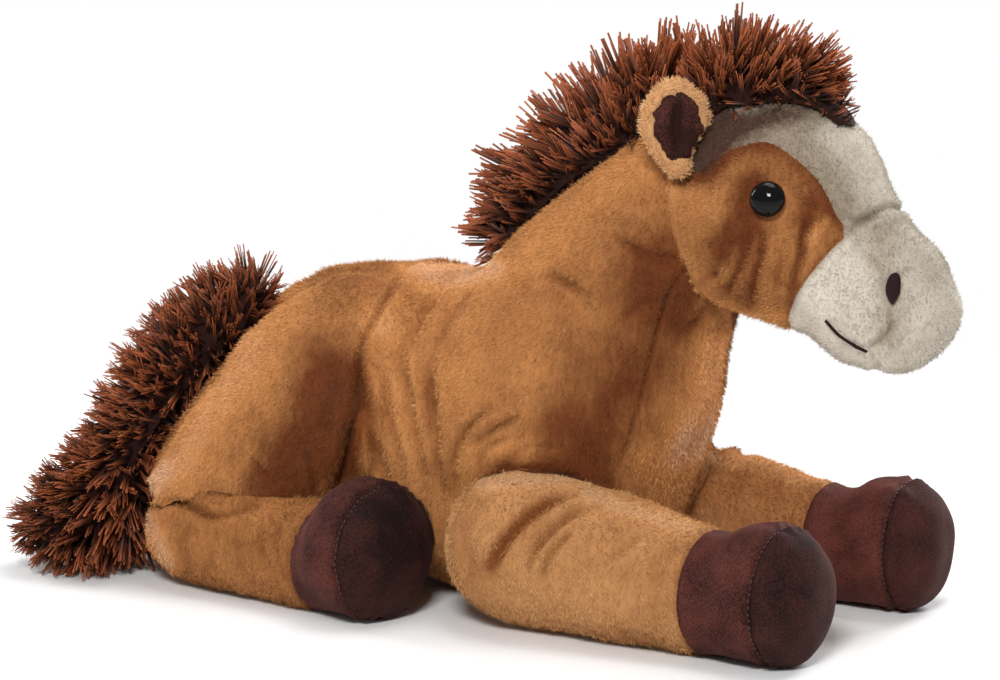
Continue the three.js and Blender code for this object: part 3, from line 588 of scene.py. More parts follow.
def torso_panel(centres):
    x, y, z = (centres / mm).T
    side = np.where(y < 0, "right", "left")
    seams = [np.array(seam, float).T for seam in [haunch_seam, shoulder_seam]]
    haunch_x, shoulder_x = (np.interp(z, up, along) for along, up in seams)
    low, high = np.array(gusset_edge, float).T
    throat = (z < np.interp(x, low, high)) & (np.abs(y) < gusset_half_width)
    kinds = np.where(throat, "chest_plush", np.char.add("shoulder_plush_", side))
    kinds = np.where(x < shoulder_x, "barrel_plush", kinds)
    return np.where(x < haunch_x, np.char.add("rump_plush_", side), kinds)


# Folds as paths in the photograph's pixels with width, depth and how full their lips are.
torso_folds = [
    # The seams that the photograph shows, between full panels.
    ([(420, 252), (412, 262), (397, 282), (377, 315), (362, 347), (357, 382), (346, 424)], 1.7, 3.4),
    ([(357, 350), (361, 395), (354, 430), (349, 455), (336, 500)], 3.6, 6.5, 0.4),
    ([(495, 262), (470, 290), (447, 316), (430, 348), (424, 385), (428, 430)], 3, 2.6),
    ([(669, 240), (668, 293), (660, 340), (649, 384), (638, 424), (625, 480)], 1.5, 2.2),
    # The loose barrel creases in long upright folds.
    ([(398, 345), (405, 385), (411, 427), (426, 490)], 2.8, 4.6, 0.45),
    ([(428, 370), (431, 425), (443, 500)], 2.6, 4.0, 0.45),
    ([(366, 392), (371, 435), (384, 480)], 2.6, 3.4, 0.4),
    ([(416, 350), (421, 400), (432, 470)], 1.6, 1.8),
    ([(385, 370), (390, 420), (402, 475)], 1.8, 2.2),
    ([(436, 284), (424, 310), (410, 345)], 3, 2.2),
    ([(462, 268), (440, 290), (428, 312)], 2, 1.8),
    ([(476, 300), (452, 322), (440, 350)], 3, 1.6),
    # The shoulder gathers over the elbow, and the neck behind the cheek.
    ([(492, 404), (466, 430), (453, 456), (450, 486)], 2.0, 3.6, 0.4),
    ([(524, 414), (496, 428), (472, 448)], 2.0, 3.0, 0.4),
    ([(512, 436), (484, 450), (464, 478)], 2.0, 2.8, 0.4),
    ([(556, 446), (520, 448), (488, 462)], 2.2, 2.4, 0.4),
    ([(472, 474), (508, 461), (552, 466), (600, 486)], 3.6, 3.0),
    ([(540, 269), (566, 281), (592, 297)], 2.4, 2.4),
    ([(608, 232), (632, 247), (653, 259), (672, 278)], 2.6, 3.0),
    ([(728, 312), (712, 324), (700, 336)], 2.6, 2.6),
    ([(585, 400), (560, 420), (530, 440)], 6, 2.0),
    ([(664, 300), (640, 306), (618, 318)], 3, 1.8),
    # Dents at the knee and above the hock.
    ([(304, 448), (310, 462), (315, 479), (315, 495)], 2, 2.4),
    ([(250, 458), (260, 472), (276, 482)], 2.2, 2.4),
    ([(150, 498), (172, 497), (205, 508)], 2.4, 2.6),
    ([(300, 330), (318, 372), (320, 415)], 12, 2.2),
]
torso_ridges = [
    ([(258, 458), (272, 464), (284, 474)], 3, 1.6),
    ([(350, 385), (340, 420), (330, 450), (322, 482)], 6, 2.6),
    ([(235, 325), (185, 395), (158, 442), (150, 478)], 12, -5),
]
# Where the nap is painted dark, below 0, and light: painted shade in hollows and creases and painted
# highlights on rims, partly the nap's own tone. Path, reach in pixels and amount.
torso_painted_shading = [
    ([(336, 388), (327, 418), (298, 460)], 34, -1.3),
    ([(346, 430), (350, 470)], 10, -0.6),
    ([(250, 480), (290, 483)], 12, -0.5),
    ([(290, 320), (330, 290), (390, 275)], 26, -0.3),
    ([(655, 310), (628, 380), (600, 460)], 50, -0.6),
    ([(560, 442), (585, 470)], 26, -0.4),
    ([(628, 385), (608, 410)], 18, -0.3),
    ([(672, 300), (690, 328)], 15, -0.7),
    ([(645, 470), (685, 472), (700, 445)], 20, 0.5),
    ([(650, 250), (655, 300)], 26, -0.35),
    ([(500, 470), (540, 468), (580, 482), (620, 498)], 11, -1.1),
    ([(290, 300), (230, 380), (180, 460)], 34, 0.5),
    ([(620, 160), (580, 210), (530, 260)], 26, 0.25),
    ([(470, 330), (455, 400)], 30, 0.3),
    ([(716, 350), (712, 400), (690, 455)], 14, 0.55),
    ([(385, 330), (400, 420), (410, 480)], 22, 0.3),
    ([(412, 268), (450, 276), (492, 268)], 15, 0.9),
    ([(398, 300), (380, 330)], 12, 0.3),
    ([(148, 482), (160, 470)], 12, 0.8),
    ([(470, 452), (500, 445), (530, 450)], 9, 0.4),
]
# Where the barrel creases, along the body, and how far the chest is drawn in, in mm.
barrel_middle, barrel_reach = -14, 24
chest_drawn_in = 7
# The cloth lies this much deeper than the outside of its pile.
pile_room = 0.9
short_pile_room = 0.7
# An oval that fills the socket of the tail: its middle and radii.
dock_filling = ((-117, 4, 136), (22, 28, 22.5))


def torso_skin():
    form = sewn_form("torso_skin", torso_nodes, *stuffed, limb_nodes, [dock_filling])
    skin = Skin(form)
    x, _, z = (skin.points / mm).T

    for fold in torso_folds:
        skin.fold(*fold)
    barrel = np.exp(-((x - barrel_middle) / barrel_reach) ** 2) * ramp(z, 20, 60)
    skin.move(0.7 * bumps(skin.points * [1, 1, 0.35], 8 * mm, 3), barrel)
    for ridge in torso_ridges:
        skin.ridge(*ridge)
    skin.move(0.9 * bumps(skin.points, 34 * mm, 1) + 0.3 * bumps(skin.points, 12 * mm, 2))
    skin.move(-pile_room)
    front = ramp(skin.ways[:, 0], 0.2, 0.7) * ramp(x, 60, 85) * ramp(z, 35, 65) * ramp(z, 185, 155)
    skin.move(-chest_drawn_in * front)
    for tint in torso_painted_shading:
        skin.tint(*tint)
    skin.close_on(limb_nodes, 0.85, 13)
    skin.close_on(head_nodes, 0.95, 16)
    skin.meet(limb_nodes)
    skin.bare((2 - z) / 2)
    skin.done((-0.45, 0, -0.8), 1.1)
    return form


# Deep and light colours of each plush: painted shade and painted highlights, partly the nap's own tone, run
# between them.
tan_plush = plush("tan plush", (0.19, 0.052, 0.012), (0.80, 0.405, 0.147))
barrel_plush = plush("barrel plush", (0.29, 0.088, 0.021), (0.84, 0.44, 0.165))
light_plush = plush("light plush", (0.34, 0.122, 0.033), (0.82, 0.485, 0.215))
plush_tufts = [tuft_of(f"plush_tuft_{i}", 2.7 * mm, bend=0.7 * mm, spread=0.32, seed=i) for i in range(5)]

# How far apart the tufts stand and how much they stray from the nap.
body_pile = (1.95 * mm, 0.2)
for seed, (name, panel) in enumerate(parted(torso_skin(), torso_panel).items()):
    light = name == "barrel_plush"
    nodes = ["chest_gusset", "body_stuffing"] if name == "chest_plush" else [name.replace("plush", "cover")]
    panel.data.materials.append(barrel_plush if light else tan_plush)
    pile(panel, plush_tufts, *body_pile, 10 * seed)
    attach(panel, "torso")
    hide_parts(*nodes)


# Legs: each is a stuffed plush tube that ends in a hoof of dark knit velour, a wall sewn to
# the collar and a round sole sewn to the wall. The seams pucker where the filling pulls.
def seam_plane(node, other, back):
    """The plane in which two panels meet, moved back by some mm, and the way from one to the other."""
    points = read_vectors(frame["nodes"][node].data.vertices, "co")
    seam = points[lengths(to_nearest([other], points)) < 0.5 * mm]
    middle = seam.mean(0)
    way = np.linalg.svd(seam - middle)[2][2]
    way *= np.sign(way @ (middle_of(other) - middle))
    return middle - way * back * mm, way


def velour(name, deep, light):
    """Knit velour: fine wales under a short, dull nap."""
    tint = (*[2.4 * part + 0.04 for part in light], 1)
    sheen = {"Sheen_Weight": 0.25, "Sheen_Roughness": 0.35, "Sheen_Tint": tint}
    cloth = Cloth(name, Roughness=0.85, Specular_IOR_Level=0.15, **sheen)
    inputs = {"Vector": cloth.place, "Scale": 0.32 / (1.2 * mm), "Distortion": 1.5, "Detail": 1.0}
    wales = cloth.add("ShaderNodeTexWave", {"bands_direction": "DIAGONAL"}, inputs, 1)
    grain = cloth.steps(cloth.noise(1.1 * mm, 3), 0.33, 0.67)
    brushed = cloth.steps(cloth.noise(16 * mm, 3), 0.3, 0.75)
    value = brushed * 0.4 + grain * 0.42 + wales * 0.12 + cloth.attribute("shade")
    cloth.colour(cloth.mix(value.clamped(), deep, light))
    cloth.relief(grain * 0.7 + wales * 0.3, 0.5, 0.4 * mm)
    return cloth.material


hoof_velour = velour("hoof velour", (0.018, 0.0048, 0.0036), (0.125, 0.034, 0.025))
sole_velour = velour("sole velour", (0.007, 0.0022, 0.0017), (0.062, 0.017, 0.0125))

leg_folds = {
    "foreleg": [
        ([(580, 488), (540, 508), (508, 536), (486, 574)], 2.6, 6.2),
        ([(600, 498), (566, 518), (542, 542), (524, 568)], 2.2, 5.0),
        ([(572, 530), (552, 552), (538, 584)], 1.9, 3.2),
        ([(650, 526), (624, 545), (604, 564)], 2.4, 1.6),
        ([(640, 552), (622, 575), (612, 600)], 2.4, 1.2),
        ([(474, 503), (494, 492), (512, 488)], 1.6, 1.6),
        ([(462, 512), (464, 545), (480, 585)], 4, 1.4),
        ([(520, 588), (540, 604), (566, 612)], 3, 0.9),
        ([(664, 545), (652, 580), (655, 612)], 2.4, 1.2),
    ],
    "shank": [
        ([(148, 512), (165, 502), (184, 502), (210, 516)], 2.4, 3.6),
        ([(196, 506), (210, 514), (234, 508), (262, 502)], 2.6, 3.2),
        ([(262, 522), (257, 540), (266, 560)], 2.2, 1.6),
        ([(281, 520), (276, 545), (281, 572)], 1.6, 1.6),
        ([(218, 526), (208, 548), (212, 574)], 2.8, 1.4),
        ([(190, 518), (182, 545), (192, 578)], 2.8, 1.3),
        ([(236, 560), (246, 580), (262, 594)], 2.8, 1.0),
        ([(240, 512), (232, 530), (236, 550)], 2, 1.1),
    ],
}
# Painted shade, below 0, and painted highlights on sleeves and hooves: path, reach in pixels and amount.
leg_painted_shading = {
    "foreleg": [
        ([(690, 580), (715, 615)], 22, -0.15),
        ([(796, 560), (785, 612)], 20, -0.25),
        ([(470, 520), (520, 560), (600, 590)], 60, 0.15),
        ([(480, 482), (550, 482), (640, 512), (690, 528)], 10, 0.7),
        ([(568, 494), (530, 513), (505, 540), (490, 566)], 8, -0.7),
    ],
    "shank": [
        ([(392, 485), (395, 535)], 42, -0.42),
        ([(147, 495), (152, 525), (168, 565)], 9, 0.9),
        ([(230, 540), (280, 570)], 30, -0.12),
    ],
}

# How far, in mm, the wall reaches up the sleeve and the sole wraps over the wall.
cuff = {"foreleg_right": 12, "foreleg_left": 17, "shank_right": 5, "shank_left": 5}
sole_wrap = {"foreleg": 7, "shank": 2}

# Stitches round a sole: their pitch, width and how far they stand out, in mm.
stitch_pitch = 3.2
stitch_width = 0.9
stitch_rise = 0.5
seam_thread = Cloth("seam thread", Roughness=0.6)
seam_thread.colour(seam_thread.mix(seam_thread.noise(1.2 * mm), (0.02, 0.006, 0.005), (0.10, 0.034, 0.027)))


def stitch_row(name, panel, seam, body):
    """Small stitches that sit in the seam round the sole."""
    shape = bmesh.new()
    shape.from_mesh(panel.data)
    places = np.array([point.co for point in shape.verts if point.is_boundary])
    shape.free()
    middle = places.mean(0)
    across = np.cross(seam[1], (0, 0, 1))
    upward = np.cross(across, seam[1])
    places = places[np.argsort(np.arctan2((places - middle) @ upward, (places - middle) @ across))]
    places = np.concatenate([places, places[:1]])
    along = np.concatenate([[0], np.cumsum(np.linalg.norm(np.diff(places, axis=0), axis=1))])
    count = int(along[-1] / (stitch_pitch * mm))
    row = bmesh.new()
    for index in range(count):
        start, end = (
            Vector([np.interp(along[-1] * (index + share) / count, along, line) for line in places.T])
            for share in [0.15, 0.85]
        )
        stitch = bmesh.ops.create_uvsphere(row, u_segments=6, v_segments=4, radius=0.5)["verts"]
        bmesh.ops.scale(row, vec=(stitch_width * mm, stitch_width * mm, (end - start).length), verts=stitch)
        turn = (end - start).to_track_quat("Z", "Y").to_matrix()
        bmesh.ops.rotate(row, cent=(0, 0, 0), matrix=turn, verts=stitch)
        out = ((start + end) / 2 - Vector(middle)).normalized() * stitch_rise * mm
        bmesh.ops.translate(row, vec=(start + end) / 2 + out, verts=stitch)
    stitches = new_piece(name, row)
    stitches.data.materials.append(seam_thread.material)
    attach(stitches, body)


def make_leg(kind, side, seed):
    body = f"{kind}_{side}"
    parts = ["cover", "hoof_wall", "hoof_sole", "stuffing"]
    cover, wall, sole, filling = (f"{kind}_{part}_{side}" for part in parts)
    form = sewn_form(f"{body}_skin", [cover, wall, sole, filling], *stuffed)
    collar_seam = seam_plane(cover, wall, cuff[body])
    sole_seam = seam_plane(wall, sole, sole_wrap[kind])
    skin = Skin(form)

    def past(seam, points):
        return (points - seam[0]) @ seam[1]

    past_collar = past(collar_seam, skin.points) / mm
    past_sole = past(sole_seam, skin.points) / mm
    sleeve = ramp(past_collar, 0, -8)
    for fold in leg_folds[kind]:
        skin.fold(*fold, where=sleeve)
    lumps = 0.8 * bumps(skin.points, 22 * mm, seed) + 0.35 * bumps(skin.points, 9 * mm, seed + 1)
    skin.move(lumps, sleeve)

    # Each seam pulls the velour into small pleats.
    across = np.cross(sole_seam[1], (0, 0, 1))
    offset = skin.points - sole_seam[0]
    angle = np.arctan2(offset @ np.cross(sole_seam[1], across), offset @ across)
    pleats = np.sin(19 * angle + 2.5 * np.sin(4 * angle + seed))
    for gap, width, depth, ruffle in [(past_collar, 1.5, 2.0, 0.45), (past_sole, 1.4, 2.4, 0.7)]:
        skin.groove(np.abs(gap), width, depth, 0.4)
        ruffled = np.exp(-((np.abs(gap) - 4) / 3.5) ** 2) * ramp(past_collar, 0, 2)
        skin.move(ruffle * pleats, ruffled)
    skin.move(-short_pile_room, past_collar < 0)
    skin.move(0.5 * bumps(skin.points, 15 * mm, seed + 2), ramp(past_collar, 0, 4))
    for tint in leg_painted_shading[kind]:
        skin.tint(*tint)
    if body == "foreleg_left":
        # The far foreleg's sleeve gets painted shade, and its hoof a painted highlight, for the other light
        # on the far leg.
        skin.shade += np.where(past_collar < 0, -0.3, 0.15)
    nap = collar_seam[1] * 0.5 + np.array([0, 0, -0.5])
    skin.close_on(torso_nodes, 0.4, 8)
    skin.meet(torso_nodes)
    skin.bare((1.5 - skin.points[:, 2] / mm) / 2)
    skin.done(nap, 1.1)

    def leg_panel(centres):
        kinds = np.full(len(centres), f"{kind}_hoof_wall_velour_{side}")
        kinds = np.where(past(collar_seam, centres) < 0, f"{kind}_plush_{side}", kinds)
        return np.where(past(sole_seam, centres) > 0, f"{kind}_hoof_sole_velour_{side}", kinds)

    slots = {
        "sole": ("sole_velour", sole_velour, [sole]),
        "wall": ("hoof_velour", hoof_velour, [wall]),
        "foreleg": ("light_plush", light_plush, [cover, filling]),
        "shank": ("tan_plush", tan_plush, [cover, filling]),
    }
    for name, panel in parted(form, leg_panel, [collar_seam, sole_seam]).items():
        part = next((part for part in ["sole", "wall"] if part in name), kind)
        slot, material, nodes = slots[part]
        panel.data.materials.append(material)
        if part == "sole":
            stitch_row(f"{kind}_sole_stitches_{side}", panel, sole_seam, body)
        if part == kind:
            pile(panel, plush_tufts, *body_pile, 100 + seed)
        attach(panel, body)
        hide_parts(*nodes)


for seed, kind in enumerate(["foreleg", "shank"]):
    make_leg(kind, "right", 20 * seed + 1)
    make_leg(kind, "left", 20 * seed + 9)


# Head: tan cheeks, a white blaze that widens over the brow and a white muzzle, all short
# plush. The panels meet in drawn-in seams; the muzzle is full and round.
head_joint = next(joint for joint in frame["joints"] if joint["name"] == "head_turn")
head_centre = np.array(head_joint["pos_m"])
head_pitch = math.radians(37)
nose_way = np.array([math.cos(head_pitch), 0, -math.sin(head_pitch)])
brow_way = np.array([math.sin(head_pitch), 0, math.cos(head_pitch)])
side_way = np.array([0, 1, 0])
muzzle_seam = 43
blaze_start = -40
blaze_top = 41
blaze_low = 31
eye_radius = 9


def on_head(points):
    """Places on the head in mm: towards the nose, to the left and towards the brow."""
    offset = (points - head_centre) / mm
    return offset @ nose_way, offset @ side_way, offset @ brow_way


def off_head(along, side, up):
    return head_centre + (nose_way * along + side_way * side + brow_way * up) * mm


def blaze_edge(along):
    share = (along - blaze_start) / (muzzle_seam - blaze_start)
    return blaze_top + (blaze_low - blaze_top) * share


def head_panel(centres):
    along, side, up = on_head(centres)
    kinds = np.where(side < 0, "cheek_plush_right", "cheek_plush_left")
    kinds = np.where((np.abs(side) > blaze_edge(along)) | (up < 0), kinds, "blaze_plush")
    return np.where(along > muzzle_seam, "muzzle_plush", kinds)


cheek_gathers = [
    ([(752, 222), (745, 246), (738, 270), (722, 300)], 2.4, 2.6),
    ([(762, 222), (762, 250), (754, 280), (750, 312)], 1.8, 1.9),
    ([(812, 212), (803, 238), (799, 262), (788, 300)], 2.2, 2.8),
    ([(784, 236), (780, 262), (776, 290)], 2.4, 1.0),
    ([(738, 234), (726, 250), (716, 274), (700, 284)], 2.2, 1.2),
]
# The jaw's crease, the seam over the nose, and the dents of muzzle and lips.
head_folds = [
    ([(700, 262), (715, 285), (742, 305)], 4, 2.0),
    ([(836, 210), (857, 219), (884, 213)], 1.8, 1.8),
    ([(858, 226), (862, 250), (874, 270)], 3, 1.2),
    ([(864, 354), (882, 341), (902, 318)], 2.2, 2.2),
    ([(866, 352), (872, 364), (880, 376)], 1.8, 2.0),
    ([(889, 304), (892, 318), (890, 334)], 1.6, 1.6),
    ([(884, 274), (876, 262), (872, 252)], 1.6, 1.4),
    ([(896, 280), (904, 272), (912, 268)], 1.4, 1.2),
]
# Painted shade, below 0, and painted highlights on the head: path, reach in pixels and amount. Beside the
# ear it is painted shadow of the ear and mane, partly the ear's dark fur; over the blaze's top and left,
# painted shade under the mane.
head_painted_shading = [
    ([(716, 118), (709, 146), (700, 160)], 17, -3.3),
    ([(734, 127), (775, 114), (806, 108)], 17, -1.8),
    ([(750, 132), (790, 138), (824, 172), (838, 208)], 24, -0.75),
    ([(752, 190), (740, 222), (722, 248)], 19, -0.95),
    ([(808, 205), (802, 222)], 9, -0.5),
    ([(880, 240), (890, 290), (888, 335)], 19, -0.4),
    ([(815, 300), (830, 335), (880, 368)], 16, 0.3),
    ([(668, 195), (662, 235), (690, 292)], 13, 0.7),
    ([(700, 300), (750, 315), (795, 325)], 8, 0.4),
    ([(757, 236), (752, 270), (744, 305)], 15, -0.5),
    ([(804, 232), (798, 262), (788, 304)], 10, -0.2),
    ([(826, 222), (812, 240)], 6, 0.6),
    ([(694, 292), (720, 308), (760, 320)], 5, 0.5),
    ([(870, 215), (905, 232), (935, 270)], 20, -0.25),
]


def head_skin():
    others = ["shoulder_cover_right", "shoulder_cover_left", "chest_gusset"]
    form = sewn_form("head_skin", head_nodes, 2 * mm, 26)
    skin = Skin(form)
    along, side, up = on_head(skin.points)
    behind = ramp(along, muzzle_seam, muzzle_seam - 4)
    skin.groove(np.abs(np.abs(side) - blaze_edge(along)), 1.5, 1.3, where=ramp(up, 0, 12) * behind)
    skin.groove(np.abs(along - muzzle_seam), 1.7, 2.2)
    skin.groove(np.abs(side), 1.4, 1.0, where=ramp(up, 0, -20) * behind)

    for path, width, depth in cheek_gathers:
        skin.fold(path, width, depth, 0.45)
        # Painted shade down each gather.
        skin.tint(path[1:], 4, -0.18)
    for fold in head_folds:
        skin.fold(*fold)

    # The eyes and nostrils sit in dents.
    mirrored = near_side(skin.points)
    for node, width, depth in [("eye_right", eye_radius + 2, 1.6), ("nostril_right", 6, 2.2)]:
        gap = lengths(mirrored - middle_of(node)) / mm
        skin.move(-depth * np.exp(-(gap / width) ** 2))
        skin.move(0.7 * np.exp(-((gap - 1.6 * width) / 3.5) ** 2))
        skin.bare((width - gap) / 2)

    lumps = 0.6 * bumps(skin.points, 26 * mm, 41) + 0.2 * bumps(skin.points, 8 * mm, 42)
    skin.move(lumps - short_pile_room)
    for tint in head_painted_shading:
        skin.tint(*tint)
    skin.close_on(others, 0.6, 12)
    skin.meet(others)
    skin.done(-nose_way * 0.7 + np.array([0, 0, -0.3]), 1.0)
    return form


# Deep, light and root colours of the white plush: painted shade over the blaze runs to the deep one, and
# the root one paints shade between the hairs.
white_colours = [(0.26, 0.21, 0.155), (0.75, 0.70, 0.62), (0.97, 0.95, 0.92)]
white_plush = plush("white plush", *white_colours, patches=0.22, rough=0.08)
face_tufts = [tuft_of(f"face_tuft_{i}", 2.2 * mm, bend=0.6 * mm, spread=0.4, seed=20 + i) for i in range(4)]
head_cuts = [(off_head(muzzle_seam, 0, 0), nose_way)]
for hand in [-1, 1]:
    top = off_head(blaze_start, hand * blaze_top, 0)
    low = off_head(muzzle_seam, hand * blaze_low, 0)
    head_cuts.append((top, np.cross(low - top, brow_way)))
for seed, (name, panel) in enumerate(parted(head_skin(), head_panel, head_cuts).items()):
    tan = name.startswith("cheek")
    nodes = [name.replace("plush", "cover")] + ["head_stuffing"] * (name == "blaze_plush")
    panel.data.materials.append(tan_plush if tan else white_plush)
    spacing, sizes = (1.85 * mm, (0.7, 1.25)) if tan else (1.6 * mm, (0.5, 0.95))
    pile(panel, face_tufts, spacing, 0.2, 200 + 10 * seed, sizes)
    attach(panel, "head")
    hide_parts(*nodes)


# Eyes: glossy black domes on round flanges, set through the cheeks. The washers that lock
# them sit inside the head's filling.
def smooth_copy(name, node, material, shape_it=None):
    """A finer copy of a CAD node; its points may first be moved."""
    shape = shape_of([node])
    bmesh.ops.remove_doubles(shape, verts=shape.verts, dist=weld_gap)
    if shape_it:
        shape_it(shape)
    piece = new_piece(name, shape)
    piece.data.materials.append(material)
    fine = piece.modifiers.new("fine", "SUBSURF")
    fine.levels = fine.render_levels = 2
    settled(piece)
    return piece


eye_black = Cloth("eye black", Roughness=0.04, IOR=1.26)
eye_black.colour((0.004, 0.0035, 0.0035))
washer_white = Cloth("washer plastic", Roughness=0.4)
washer_white.colour((0.72, 0.71, 0.68))
for side in ["right", "left"]:
    washer = frame["nodes"][f"eye_washer_{side}"]
    washer.data.materials.clear()
    washer.data.materials.append(washer_white.material)
    eye = smooth_copy(f"glossy_eye_{side}", f"eye_{side}", eye_black.material)
    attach(eye, "head")
    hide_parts(f"eye_{side}")


# Nostrils and mouth: dark satin stitches on the white muzzle. The nostrils are upright
# almonds, and the mouth is one slanting line on each side.
thread = Cloth("thread", Roughness=0.7, Specular_IOR_Level=0.15)
thread.colour(thread.mix(thread.noise(1.5 * mm), (0.004, 0.0015, 0.0015), (0.026, 0.008, 0.008)))
nostril_width = 0.74
nostril_taper = 0.45


def almond(shape):
    """Narrows a nostril to an almond that ends in a point below."""
    middle = sum((point.co for point in shape.verts), Vector()) / len(shape.verts)
    level = Vector((rightward.x, rightward.y * (1 if middle.y < 0 else -1), 0))
    tall = max(abs(point.co.z - middle.z) for point in shape.verts)
    for point in shape.verts:
        offset = point.co - middle
        width = nostril_width - nostril_taper * max(0, -offset.z / tall - 0.3)
        point.co += level * offset.dot(level) * (width - 1)


for kind, shape_it in [("nostril", almond), ("mouth", None)]:
    for side in ["right", "left"]:
        stitched = smooth_copy(f"{kind}_thread_{side}", f"{kind}_{side}", thread.material, shape_it)
        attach(stitched, "head")
        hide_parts(f"{kind}_{side}")


# Ears: plush cups with a thick, fuzzy rim. A dark velour lining is sewn into each cup and
# has one soft crease down its middle.
ear_size = (0.94, 0.94, 0.84)
lining_size = (1.1, 1.1, 1.06)
lining_out = 1.3
ear_pile_room = 0.8


def cup_inside(skin, lining):
    """1 where a cup's wall looks towards the middle of its lining."""
    inward = middle_of(lining) - skin.points
    inward /= lengths(inward)[:, None]
    return ramp((inward * skin.ways).sum(1), -0.1, 0.6)


def resized(skin, node, size):
    """Sizes a skin about the middle of a node."""
    middle = middle_of(node)
    skin.points = middle + (skin.points - middle) * size
    skin.pixels = seen_at(skin.points)


for side in ["right", "left"]:
    cup, inner = f"ear_{side}", f"ear_lining_{side}"
    ear = sewn_form(f"ear_plush_{side}", [cup], 1.5 * mm, 24)
    skin = Skin(ear)
    resized(skin, cup, ear_size)
    skin.move(0.3 * bumps(skin.points, 16 * mm, 51) - ear_pile_room)
    # The ear is painted lighter: partly its paler rim, partly painted rim light.
    skin.shade += 0.5
    skin.meet([inner], 1)
    skin.bare(cup_inside(skin, inner))
    skin.done((0, 0, 1), 0.4)
    ear.data.materials.append(light_plush)
    pile(ear, face_tufts, 1.5 * mm, 0.5, 400)
    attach(ear, cup)
    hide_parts(cup)

    lining = sewn_form(f"ear_velour_{side}", [inner], 1.2 * mm, 12)
    skin = Skin(lining)
    resized(skin, cup, lining_size)
    skin.move(lining_out)
    skin.fold([(679, 100), (676, 124), (679, 152)], 2.6, 3.0)
    skin.shade -= 0.3
    skin.done((0, 0, 1), 0.5)
    lining.data.materials.append(hoof_velour)
    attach(lining, cup)
    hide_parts(inner)


# Mane, forelock and tail: shaggy long pile. Each lock is a loose bundle of straight, blunt
# strands, and the locks stand out on all sides from a narrow dark backing.
def lock_of(name, strands, length, width, seed):
    """A bundle of straight, blunt strands. Its attribute fibre is each strand's own shade."""
    chance = np.random.default_rng(seed)
    shape = bmesh.new()
    fibres = []
    for _ in range(strands):
        size = chance.uniform(0.72, 1.1)
        ends = {"radius1": 0.5 * width, "radius2": 0.34 * width, "cap_ends": True}
        strand = bmesh.ops.create_cone(shape, segments=3, depth=length * size, **ends)["verts"]
        bmesh.ops.translate(shape, verts=strand, vec=(0, 0, length * size / 2))
        lean = Matrix.Rotation(chance.uniform(0.0, 0.09), 3, "Y")
        turn = Matrix.Rotation(chance.uniform(0, 2 * math.pi), 3, "Z")
        bmesh.ops.rotate(shape, verts=strand, cent=(0, 0, 0), matrix=turn @ lean)
        root = turn @ Vector((chance.uniform(0.2, 1.1) * width, 0, 0))
        bmesh.ops.translate(shape, verts=strand, vec=root)
        fibres += [chance.uniform(0, 1)] * len(strand)
    lock = new_piece(name, shape, smooth=False)
    heights = read_vectors(lock.data.vertices, "co")[:, 2] / length
    store(lock.data, "tip", np.clip(heights, 0, 1))
    store(lock.data, "fibre", np.array(fibres))
    return lock


def shag(name, deep, light):
    """Long pile: painted shade makes it nearly black at its roots, painted highlights make it copper where
    the tips catch the light.
    """
    cloth = Cloth(name, Roughness=0.5, Specular_IOR_Level=0.25)
    tip = cloth.attribute("tip")
    value = tip * tip * 0.75 + cloth.attribute("strand") * 0.35 + cloth.attribute("fibre") * tip * 0.45
    value = value + cloth.noise(9 * mm) * 0.3 + cloth.attribute("shade")
    cloth.colour(cloth.mix(cloth.steps(value, 0.3, 1.5), deep, light))
    cloth.put(cloth.shader.inputs["Roughness"], 0.95 - cloth.steps(tip, 0.0, 0.3) * 0.45)
    return cloth.material


dark_shag = shag("dark shag", (0.018, 0.0038, 0.0018), (0.43, 0.118, 0.042))
# The voxel size and the steps of rounding of a backing.
backing_form = (3 * mm, 8)
lock_length = 21
lock_overhang = 8
root_depth_share = 0.6
lying_height = 2
# The forelock is trimmed over the brow, between these columns of the photograph.
trim_start, trim_end = 815, 850
trimmed_off = 0.65
pressed_down = 0.3
locks = [lock_of(f"lock_{i}", 6, lock_length * mm, 1.0 * mm, 60 + i) for i in range(8)]


def away_from(points, centre):
    """Which way locks stand that fan out from a place; they lie back along the crest."""
    away = points - centre
    away[:, 1] *= 0.35
    return away / lengths(away)[:, None]


def grow_locks(skin, node, body, ways, lean, long, spacing, seed):
    """Locks on a dark backing; those that reach the floor lie on it."""
    skin.grow *= np.clip(long / lock_length, 0.3, 1.5)
    skin.done(ways, lean)
    shaggy = skin.piece
    shaggy.data.materials.append(dark_shag)
    pile(shaggy, locks, spacing, 0.75, seed, (0.6, 1.4))
    points = read_vectors(shaggy.data.vertices, "co")
    under = np.minimum(points[:, 2] / mm - lying_height, 0)
    points[:, 2] = np.where(under < 0, (0.3 + (lying_height - 0.3) * np.exp(under / 5)) * mm, points[:, 2])
    shaggy.data.vertices.foreach_set("co", points.ravel())
    shaggy.data.update()
    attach(shaggy, body)
    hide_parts(node)


def sew_crest(node, body, centre, seed):
    """A strip of the crest: its roots lie closer to the neck and head than its tips."""
    skin = Skin(sewn_form(f"{node}_shag", [node], *backing_form))
    ways = away_from(skin.points, np.array(centre) * mm)
    backing = ["shoulder_cover_right", "shoulder_cover_left", *head_nodes]
    inward = to_nearest(backing, skin.points)
    tall = lengths(inward) / mm
    skin.points += inward * root_depth_share
    long = tall * root_depth_share + lock_overhang
    if node == "forelock":
        front = ramp(skin.pixels[:, 0], trim_start, trim_end)
        long *= 1 - trimmed_off * front
        skin.points += inward * (pressed_down * front)[:, None]
    grow_locks(skin, node, body, ways, ramp(tall, 0, 14) * 1.3 - 0.35, long, 2.6 * mm, seed)


sew_crest("mane", "torso", (100, 0, 190), 300)
sew_crest("forelock", "head", (110, 0, 200), 310)

